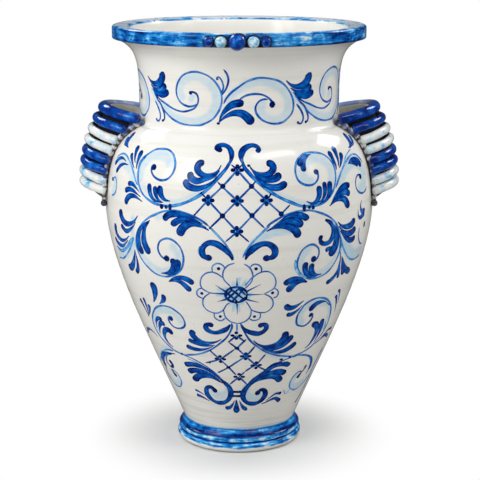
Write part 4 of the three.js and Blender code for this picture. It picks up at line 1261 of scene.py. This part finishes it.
def pearl_piece(name, diameter, along, material):
    """A ball from rings of points between its two poles, with dark wash and painted shade behind it."""
    centre = pearl_centre(along)
    outward = centre * (1, 1, 0) / np.linalg.norm(centre[:2])
    rises = np.linspace(-math.pi / 2, math.pi / 2, PEARL_RINGS + 1)
    turns = np.arange(2 * PEARL_RINGS) * math.pi / PEARL_RINGS
    rings = [[(math.cos(rise) * math.cos(turn), math.cos(rise) * math.sin(turn), math.sin(rise))
              for turn in turns] for rise in rises[1:-1]]
    ways = np.array([(0, 0, -1), *[way for ring in rings for way in ring], (0, 0, 1)], float)
    lumps = 1 + PEARL_LUMPS * np.sin(3 * ways[:, 0] + along) * np.cos(2 * ways[:, 2] + along)
    across = len(turns)
    faces = [(0, 1 + (i + 1) % across, 1 + i) for i in range(across)]
    for ring in range(PEARL_RINGS - 2):
        low = 1 + ring * across
        faces += [(low + i, low + (i + 1) % across, low + across + (i + 1) % across, low + across + i)
                  for i in range(across)]
    low = 1 + (PEARL_RINGS - 2) * across
    faces += [(low + i, low + (i + 1) % across, len(ways) - 1) for i in range(across)]
    places = centre + ways * (lumps * (diameter / 2 - SKIN))[:, None]
    # Painted shade, with dark wash, on the side of the ball that faces the band
    corner = np.clip(0.55 - 1.2 * (ways @ outward), 0, 1)
    piece = mesh_piece(f"pearl_{name}", places, faces, material, {"corner": corner})
    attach(piece, "root")
    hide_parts(f"rim_pearl_{name}")
    return piece


for pearl_name, pearl_size, pearl_along in pearl_row():
    is_pale = pearl_name.endswith("_1")
    pearl = pearl_piece(pearl_name, pearl_size, pearl_along, pearl_pale if is_pale else pearl_blue)

# Handle pockets: at each side a slab of clay is bent round into a half cup and luted to the
# shoulder with slip. Its inside is wiped with thin glaze and has gone grey-beige; its outside
# only shows as dark lines between the coils, painted near black as dark wash and shade.
HANDLE_TOP_ABOVE_SHOULDER = 4.0
HANDLE_LENGTH = 83.0
HANDLE_REACH_TOP = 165.7
HANDLE_REACH_BOTTOM = 189.4
HANDLE_BULGE = 2.2
HANDLE_HALF_WIDTH_TOP = 56.0
HANDLE_HALF_WIDTH_BOTTOM = 46.0
COIL_RISE_TOP = 13.0
COIL_RISE_BOTTOM = 9.0
COIL_COUNT = 8
COIL_DIAMETER = 10.4
LIP_COIL_DIAMETER = 12.4
SLAB_TOP = 5.5 / HANDLE_LENGTH
SLAB_INSET = COIL_DIAMETER + 0.9
SLAB_THICKNESS = 5.0
SLAB_LIP_HEIGHT = 1.6
SLAB_EMBED = 8.0
POCKET_ROUND_START = 1.04
POCKET_FLOOR_DROP = 10.0
POCKET_FLOOR_NARROWING = 0.35


def handle_height(level):
    """How high a level of the handle lies, 0 being its first coil and 1 its last."""
    return SHOULDER_Z + HANDLE_TOP_ABOVE_SHOULDER - level * HANDLE_LENGTH


def handle_half_width(level):
    return HANDLE_HALF_WIDTH_TOP + (HANDLE_HALF_WIDTH_BOTTOM - HANDLE_HALF_WIDTH_TOP) * level


def handle_line(level, inset, u, tuck=1.0):
    """Points of the left handle at one level, from its front end, where u is 0, to its back end,
    where u is 1. A tuck below 1 draws the pocket in."""
    z = handle_height(level)
    bulge = max(1 - level, 0) ** HANDLE_BULGE
    reach = HANDLE_REACH_BOTTOM + (HANDLE_REACH_TOP - HANDLE_REACH_BOTTOM) * bulge - inset
    width = handle_half_width(level) - inset
    narrowed = width * (1 - POCKET_FLOOR_NARROWING * (1 - tuck))
    rise = (COIL_RISE_TOP + (COIL_RISE_BOTTOM - COIL_RISE_TOP) * level) * tuck
    root = math.sqrt(wall_radius(z) ** 2 - narrowed ** 2)
    tip = root + (reach - root) * tuck
    out = np.sin(math.pi * u)
    return np.column_stack([-(root - SLAB_EMBED + (tip - root + SLAB_EMBED) * out),
                            -narrowed * np.cos(math.pi * u), z + rise * out])


def turned_round(places, side):
    """The left handle's points as they are, or half a turn on for the right handle."""
    return places if side == "left" else places * (-1, -1, 1)


def pocket_levels(floor_drop, top):
    """Levels and tucks of a pocket's rings: its rounded floor first, then its side up to the top."""
    floor = POCKET_ROUND_START + floor_drop / HANDLE_LENGTH
    turns = np.linspace(0, math.pi / 2, 9)
    rounded = [(floor + (POCKET_ROUND_START - floor) * (1 - math.cos(t)), math.sin(t)) for t in turns]
    return rounded + [(level, 1.0) for level in np.linspace(POCKET_ROUND_START, top, 22)[1:]]


def slab_glaze():
    """Thin glaze wiped over red clay, beige inside the pocket, and near black behind the coils as dark wash
    and painted shade.
    """
    finish = Finish("wiped pocket glaze")
    tone = finish.mix((0.46, 0.42, 0.345), (0.62, 0.585, 0.51), finish.cloud(16.0, 3.0).eased(0.35, 0.7))
    stain = finish.cloud(70.0, 3.0, roughness=0.6).eased(0.5, 0.75) * 0.6
    tone = finish.mix(tone, (0.28, 0.25, 0.195), stain)
    # Dark wash and painted shade: near black on the slab's outside, behind the coils
    tone = finish.mix(tone, (0.014, 0.011, 0.010), finish.mark("corner"))
    rough = finish.cloud(60.0, 2.0) * 0.25 + 0.25 + finish.mark("corner") * 0.5
    return finish.surface(tone, rough, finish.relief(finish.cloud(35.0, 3.0) * 1.2))


wiped = slab_glaze()


def pocket_slab(side):
    """The slab: up its outside, round its lip, and down its inside to the floor of the pocket."""
    u = np.linspace(0, 1, 73)
    outer = pocket_levels(POCKET_FLOOR_DROP, SLAB_TOP)
    inner = pocket_levels(POCKET_FLOOR_DROP - SLAB_THICKNESS, SLAB_TOP)
    inside = SLAB_INSET + SLAB_THICKNESS
    lip_width = inside - LIP_COIL_DIAMETER
    lip = [(-math.sin(t) * SLAB_LIP_HEIGHT / HANDLE_LENGTH,
            LIP_COIL_DIAMETER + lip_width * (1 - math.cos(t)) / 2) for t in np.linspace(0, math.pi, 7)]
    lines = [handle_line(level, SLAB_INSET, u, tuck) for level, tuck in outer]
    lines += [handle_line(SLAB_TOP, LIP_COIL_DIAMETER, u)]
    lines += [handle_line(level, inset, u) for level, inset in lip]
    lines += [handle_line(level, inside, u, tuck) for level, tuck in inner[::-1]]
    across, rows = len(u), len(lines)
    faces = []
    for row in range(rows):
        low, high = row * across, (row + 1) % rows * across
        faces += [(low + i + 1, low + i, high + i, high + i + 1) for i in range(across - 1)]
    ends = [row * across for row in range(rows)]
    faces += [tuple(ends[::-1]), tuple(end + across - 1 for end in ends)]
    # The slab's outside is marked for near black: dark wash and painted shade behind the coils
    dark = [1.0 if level < 1.0 else 0.8 for level, _ in outer]
    corner = np.repeat(dark + [0.0] * (rows - len(outer)), across)
    places = turned_round(np.concatenate(lines), side)
    piece = mesh_piece(f"{side}_pocket_slab", places, faces, wiped, {"corner": corner})
    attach(piece, "root")
    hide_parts(f"{side}_handle_slab")


for side in ("left", "right"):
    pocket_slab(side)

# Coils: eight ropes of clay, rolled under the palm, are bent round each slab one above the
# other and pressed on, two blue, two white and so on. Dark wash and painted shade darken
# them where they touch.
COIL_START = 0.078
COIL_SETBACK = 0.1
COIL_PRESS = 0.25
COIL_SIDES = 32
COIL_END_ROUND = 2.4
COIL_END_GRIME = 4.0
HANDLE_MIDDLE_INWARD = 25.0
PALE_STOPS = [(0.44, (0.80, 0.81, 0.79)), (0.56, (0.62, 0.73, 0.79)),
              (0.65, (0.26, 0.54, 0.76)), (0.78, (0.03, 0.28, 0.64))]
dark_blue = applied_glaze("cobalt glaze", (0.01, 0.22, 0.74), COBALT_STOPS)
pale_blue = applied_glaze("pale glaze", (0.82, 0.82, 0.80), PALE_STOPS)


def rolled_tree():
    """A tree that makes a line of points into a closed roll, as thick as each point's girth says."""
    tree = bpy.data.node_groups.new("rolled clay", "GeometryNodeTree")
    for name, kind in (("Line", "Geometry"), ("Sides", "Int"), ("Glaze", "Material")):
        tree.interface.new_socket(name, in_out="INPUT", socket_type="NodeSocket" + kind)
    tree.interface.new_socket("Roll", in_out="OUTPUT", socket_type="NodeSocketGeometry")

    def add(kind, **inputs):
        made = tree.nodes.new(kind)
        for key, value in inputs.items():
            socket = made.inputs[key.replace("_", " ")]
            if isinstance(value, bpy.types.NodeSocket):
                tree.links.new(value, socket)
            else:
                socket.default_value = value
        return made

    given = add("NodeGroupInput")
    line = add("GeometryNodeMeshToCurve", Mesh=given.outputs["Line"])
    girth = add("GeometryNodeInputNamedAttribute", Name="girth")
    circle = add("GeometryNodeCurvePrimitiveCircle", Resolution=given.outputs["Sides"], Radius=1.0)
    roll = add("GeometryNodeCurveToMesh", Curve=line.outputs["Curve"], Profile_Curve=circle.outputs["Curve"],
               Scale=girth.outputs["Attribute"], Fill_Caps=True)
    whole = add("GeometryNodeRealizeInstances", Geometry=roll.outputs["Mesh"])
    glazed = add("GeometryNodeSetMaterial", Geometry=whole.outputs["Geometry"],
                 Material=given.outputs["Glaze"])
    add("NodeGroupOutput", Roll=glazed.outputs["Geometry"])
    return tree


rolled_clay = rolled_tree()


def points_of(mesh):
    """A mesh's points in millimetres."""
    places = np.zeros(len(mesh.vertices) * 3, np.float32)
    mesh.vertices.foreach_get("co", places)
    return places.reshape(-1, 3).astype(float) / MM


def rolled(name, path, girth, material, sides, rules):
    """A rolled piece along a path in millimetres. Each rule gives an attribute of the roll's points
    from the number of the path's point nearest to each, and how they stand out from it."""
    line = bpy.data.meshes.new(name + " line")
    line.from_pydata((path * MM).tolist(), [(i, i + 1) for i in range(len(path) - 1)], [])
    mark_points(line, "girth", girth * MM)
    carrier = bpy.data.objects.new(name + " line", line)
    bpy.context.scene.collection.objects.link(carrier)
    modifier = carrier.modifiers.new("rolled", "NODES")
    modifier.node_group = rolled_clay
    inputs = [item for item in rolled_clay.interface.items_tree if item.in_out == "INPUT"]
    sockets = {item.name: item.identifier for item in inputs}
    modifier[sockets["Sides"]] = sides
    modifier[sockets["Glaze"]] = material
    bpy.context.view_layer.update()
    ready = carrier.evaluated_get(bpy.context.evaluated_depsgraph_get())
    mesh = bpy.data.meshes.new_from_object(ready)
    bpy.data.objects.remove(carrier)
    mesh.name = name
    places = points_of(mesh)
    nearest = np.argmin(np.linalg.norm(places[:, None] - path[None], axis=2), axis=1)
    away = places - path[nearest]
    away /= np.maximum(np.linalg.norm(away, axis=1), 1e-6)[:, None]
    for key, rule in rules.items():
        mark_points(mesh, key, rule(nearest, away))
    mesh.polygons.foreach_set("use_smooth", [True] * len(mesh.polygons))
    piece = bpy.data.objects.new(name, mesh)
    bpy.context.scene.collection.objects.link(piece)
    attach(piece, "root")
    return piece


def coil(side, number):
    """One coil of a handle; number 0 is the thick one on its lip, with a painted reflection making the top
    of its back half pale.
    """
    level = number / (COIL_COUNT - 1)
    radius = (LIP_COIL_DIAMETER if number == 0 else COIL_DIAMETER) / 2
    u = np.linspace(COIL_START, 1 - COIL_START, 150)
    seed = number * 1.7 + (5.0 if side == "right" else 0.0)
    sway = 0.25 * np.sin(9 * u + seed) + 0.15 * np.sin(23 * u + 2 * seed)
    path = handle_line(level, radius + SKIN + COIL_SETBACK, u)
    path[:, 2] += sway
    run = distance_run(path)
    to_end = np.minimum(run, run[-1] - run)
    blunt = np.sqrt(np.clip(1 - (1 - np.clip(to_end / COIL_END_ROUND, 0, 1)) ** 2, 0.12, 1))
    girth = (radius + COIL_PRESS) * (1 - 0.015 * (1 + np.sin(14 * u + seed))) * (0.5 + 0.5 * blunt)
    middle = np.array([-wall_radius(path[0, 2]) + HANDLE_MIDDLE_INWARD, 0, 0])
    path = turned_round(path, side)
    middle = turned_round(middle, side)

    # Painted shade with dark wash: darker where the coil faces in towards the pocket, and at its ends
    def corner(nearest, away):
        outward = (path - middle) * (1, 1, 0)
        outward /= np.linalg.norm(outward, axis=1)[:, None]
        facing = (away * outward[nearest]).sum(axis=1)
        open_top = np.where((away[:, 2] > -0.5) | (facing < 0), 2.0, 0.0) * (number == 0)
        at_end = np.clip(1 - to_end[nearest] / COIL_END_GRIME, 0, 1)
        return np.clip(0.62 - 1.25 * facing - open_top + 0.30 * at_end, 0, 1)

    # Painted reflection on the top of the first coil's back half
    def thin(nearest, away):
        backwards = (u - 0.5) * (1 if side == "left" else -1)
        return np.clip(backwards[nearest] * 4 + 0.2, 0, 1) * np.clip(away[:, 2] * 1.6, 0, 1) * (number == 0)

    is_pale = number % 4 > 1
    piece = rolled(f"{side}_coil_{number + 1}", path, girth, pale_blue if is_pale else dark_blue, COIL_SIDES,
                   {"corner": corner, "thin": thin})
    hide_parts(f"{side}_handle_coil_{number + 1}")


for side in ("left", "right"):
    for number in range(COIL_COUNT):
        coil(side, number)

# Seams: a rope of clay is smeared down each side of a handle over the ends of its coils, with a
# pinched pellet at the tail. It is white with blue touches; dark wash and painted shade darken its
# lumps and its side against the wall, and the wall beside it.
SEAM_ROLL_RADIUS = 3.3
SEAM_PRESS = 0.5
SEAM_SIDES = 20
SEAM_TOP_ROUND = 2.5
SEAM_LUMPS = 15
SEAM_START_LEVEL = -0.02
SEAM_END_LEVEL = 1.15
PELLET_RADIUS = 3.8
PELLET_OVERHANG = 0.95
PELLET_POINTS = 15
PELLET_CLEAR = 5
DARKENED_REACH = 5.4


def seam_glaze():
    """White with a cast and touches of blue, and dark wash with painted shade in its hollows and on its side
    against the wall.
    """
    finish = Finish("seam glaze")
    cast = finish.cloud(60.0, 3.0, roughness=0.6)
    tone = finish.mix((0.80, 0.77, 0.70), (0.52, 0.68, 0.80), cast.eased(0.52, 0.7))
    touches = finish.mark("blue") * finish.cloud(120.0, 2.0).eased(0.30, 0.55)
    tone = finish.mix(tone, (0.004, 0.075, 0.38), touches)
    worn = finish.cloud(420.0, 4.0, roughness=0.72)
    # Dark wash and painted shade in the hollows and on the side against the wall
    dark = (finish.mark("corner") + worn * 1.5 - 0.75).eased(0.12, 0.46)
    tone = finish.mix(tone, (0.030, 0.020, 0.013), dark)
    rough = finish.cloud(80.0, 2.0) * 0.2 + 0.12 + dark * 0.3
    return finish.surface(tone, rough, finish.relief(cast * 1.4 + worn * 0.5))


antiqued = seam_glaze()


def seam(side, face, way):
    """The roll on one side of a handle; way is -1 at the left handle's front and 1 at its back."""
    level = np.linspace(SEAM_START_LEVEL, SEAM_END_LEVEL, 260)
    z = handle_height(level)
    y = handle_half_width(level) - COIL_DIAMETER + SEAM_ROLL_RADIUS + JOINT_GAP
    stand = SEAM_ROLL_RADIUS + JOINT_GAP
    out, up = (np.interp(z, wall_curve[:, 1], wall_facing[:, i]) * stand for i in (0, 1))
    lie = wall_radius(z) + out
    path = np.column_stack([-np.sqrt(lie ** 2 - y ** 2), way * y, z + up])
    last_step = path[-1] - path[-2]
    pellet_end = path[-1] + last_step / np.linalg.norm(last_step) * PELLET_RADIUS * PELLET_OVERHANG
    path = np.concatenate([path, np.linspace(path[-1], pellet_end, PELLET_POINTS + 1)[1:]])
    level_of = np.concatenate([level, np.full(PELLET_POINTS, level[-1])])
    run = distance_run(path)
    tail = run[-1] - PELLET_RADIUS * PELLET_OVERHANG
    lumps = 0.5 + 0.5 * np.cos(2 * math.pi * SEAM_LUMPS * run / tail + way + 0.9 * np.sin(run * 0.16))
    girth = (SEAM_ROLL_RADIUS + SEAM_PRESS) * (0.80 + 0.20 * lumps) * (1 - 0.30 * run / tail)
    pellet = np.sqrt(np.clip(PELLET_RADIUS ** 2 - (run - tail) ** 2, 0.3, None))
    before_pellet = np.where(run > tail, 0, girth)
    girth = np.where(np.abs(run - tail) < PELLET_RADIUS, np.maximum(pellet, before_pellet), girth)
    girth = girth * np.sqrt(np.clip(run / SEAM_TOP_ROUND, 0.05, 1))
    path = turned_round(path, side)

    # Painted shade with dark wash: darker on the side against the wall and between the lumps
    def corner(nearest, away):
        outward = path[nearest] * (1, 1, 0)
        outward /= np.linalg.norm(outward, axis=1)[:, None]
        facing = (away * outward).sum(axis=1)
        valley = 1 - lumps[nearest] * (np.abs(run - tail) > PELLET_CLEAR)[nearest]
        return np.clip(0.12 - 1.3 * np.minimum(facing + 0.48, 0) + 0.30 * valley, 0, 1)

    def blue(nearest, away):
        beside = np.clip(level_of[nearest] * (COIL_COUNT - 1) + 0.5, 0, COIL_COUNT - 1).astype(int)
        return np.where(beside % 4 < 2, 0.95, 0.25) + 0.6 * (run[nearest] > tail - PELLET_CLEAR)

    name = f"{side}_{face}_seam_roll"
    piece = rolled(name, path, girth, antiqued, SEAM_SIDES, {"corner": corner, "blue": blue})
    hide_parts(f"{side}_handle_{face}_seam")
    return path


def wash_and_shade_beside(piece, paths):
    """Dark wash and painted shade on a wall beside each of the paths, less and less for a few millimetres.
    """
    places = points_of(piece.data)
    dark_wash_and_shade = np.zeros(len(places))
    for path in paths:
        low, high = path.min(axis=0) - DARKENED_REACH, path.max(axis=0) + DARKENED_REACH
        near = np.flatnonzero(((places > low) & (places < high)).all(axis=1))
        away = np.full(len(near), np.inf)
        for point in path[::4]:
            away = np.minimum(away, np.linalg.norm(places[near] - point, axis=1))
        share = np.clip((DARKENED_REACH - away) / (DARKENED_REACH - SEAM_ROLL_RADIUS), 0, 1)
        dark_wash_and_shade[near] = np.maximum(dark_wash_and_shade[near], share)
    mark_points(piece.data, "dark_wash_and_shade", dark_wash_and_shade)


seam_paths = []
for side, face, way in (("left", "front", -1), ("left", "back", 1),
                        ("right", "front", 1), ("right", "back", -1)):
    seam_paths.append(seam(side, face, way))
wash_and_shade_beside(body, seam_paths)

# Studio: a pale floor that fades to white all round. Large boxes light the jar and aren't mirrored
# in it, and narrow strips, panes and windows of light stand where its glaze shows them.
FLOOR_HALF = 9000
FADE_START = 0.080
FADE_END = 0.195
CAMERA_RIGHT = 0.001
CAMERA_DISTANCE = 1.645
CAMERA_HEIGHT = 0.615
CAMERA_TILT = 12.75
CAMERA_LENS = 105.5


def floor_paint():
    """Grey paper that the camera sees fade to white away from the jar. Its bounced light is duller."""
    finish = Finish("studio floor")
    paint = finish.node("BsdfDiffuse", {"Color": (0.68, 0.68, 0.675)})
    mirrored = finish.node("LightPath", out="Is Glossy Ray")
    shade = finish.mix((0.44, 0.44, 0.43), (0.10, 0.10, 0.10), mirrored)
    dull = finish.node("BsdfDiffuse", {"Color": shade})
    glow = finish.node("Emission", {"Color": (1, 1, 1), "Strength": 0.06})
    near = finish.node("AddShader", {0: paint, 1: glow})
    white = finish.node("Emission", {"Color": (1, 1, 1), "Strength": 1.0})
    away = finish.node("VectorMath", {0: finish.place()}, out="Value", operation="LENGTH")
    seen = finish.node("MixShader", {0: away.eased(FADE_START, FADE_END), 1: near, 2: white})
    camera_ray = finish.node("LightPath", out="Is Camera Ray")
    both = finish.node("MixShader", {0: camera_ray, 1: dull, 2: seen})
    finish.node("OutputMaterial", {"Surface": both})
    return finish.material


floor_corners = [(-FLOOR_HALF, -FLOOR_HALF, 0), (FLOOR_HALF, -FLOOR_HALF, 0),
                 (FLOOR_HALF, FLOOR_HALF, 0), (-FLOOR_HALF, FLOOR_HALF, 0)]
floor = mesh_piece("studio_floor", floor_corners, [(0, 1, 2, 3)], floor_paint(), smooth=False)


def studio_walls():
    """White where the camera sees past the floor, and soft grey light for the jar."""
    finish = Finish("studio", bpy.data.worlds.new("studio"))
    seen = finish.node("LightPath", out="Is Camera Ray")
    mirrored = finish.node("LightPath", out="Is Glossy Ray")
    strength = 0.40 - mirrored * 0.35
    soft = finish.node("Background", {"Color": (1.0, 0.99, 0.97), "Strength": strength})
    white = finish.node("Background", {"Color": (1, 1, 1), "Strength": 1.0})
    both = finish.node("MixShader", {0: seen, 1: soft, 2: white})
    finish.node("OutputWorld", {"Surface": both})
    return finish.material


bpy.context.scene.world = studio_walls()


def soft_box(name, place, target, size, power, mirrored=True, lights=True):
    """A lit rectangle that faces a target. It may be kept out of mirror images, or light nothing."""
    light = bpy.data.lights.new(name, "AREA")
    light.shape = "RECTANGLE"
    light.size, light.size_y = size
    light.energy = power
    lamp = bpy.data.objects.new(name, light)
    lamp.location = place
    way = np.array(target) - np.array(place)
    flat = math.hypot(way[0], way[1])
    lamp.rotation_euler = (math.atan2(flat, -way[2]), 0, math.atan2(way[1], way[0]) - math.pi / 2)
    lamp.visible_glossy = mirrored
    lamp.visible_diffuse = lights
    bpy.context.scene.collection.objects.link(lamp)


soft_box("left_box", (-1.45, -1.15, 1.1), (0, 0, 0.28), (1.4, 1.5), 27.5, mirrored=False)
soft_box("left_strip", (-1.7, -0.9, 1.3), (0, 0, 0.35), (0.22, 1.1), 2.6)
soft_box("right_box", (1.6, -0.7, 1.2), (0, 0, 0.28), (1.0, 1.2), 13, mirrored=False)
soft_box("right_strip", (1.75, -0.8, 1.35), (0, 0, 0.35), (0.22, 1.1), 2.2)
soft_box("top_left_box", (-1.1, 0.6, 1.95), (0, 0, 0.3), (1.1, 1.3), 8.6, mirrored=False)
soft_box("top_right_box", (1.1, 0.6, 1.95), (0, 0, 0.3), (1.1, 1.3), 11, mirrored=False)
soft_box("left_pane", (-0.92, 0.82, 1.40), (0, 0, 0.35), (0.62, 0.42), 7.5, lights=False)
soft_box("right_pane", (1.10, 0.62, 1.34), (0, 0, 0.35), (0.60, 0.44), 7.5, lights=False)
soft_box("left_window", (-1.14, -1.10, 1.05), (0, 0, 0.3), (0.36, 0.95), 4.2, lights=False)
soft_box("right_window", (0.70, -0.78, 1.66), (0, 0, 0.3), (0.95, 0.34), 5.0, lights=False)
soft_box("front_box", (0, -1.2, 1.55), (0, 0, 0.34), (0.3, 0.14), 0.5)

camera = bpy.data.objects.new("camera", bpy.data.cameras.new("camera"))
camera.data.lens = CAMERA_LENS
camera.location = (CAMERA_RIGHT, -CAMERA_DISTANCE, CAMERA_HEIGHT)
camera.rotation_euler = (math.radians(90 - CAMERA_TILT), 0, 0)
bpy.context.scene.collection.objects.link(camera)
bpy.context.scene.camera = camera
bpy.context.scene.view_settings.view_transform = "Standard"
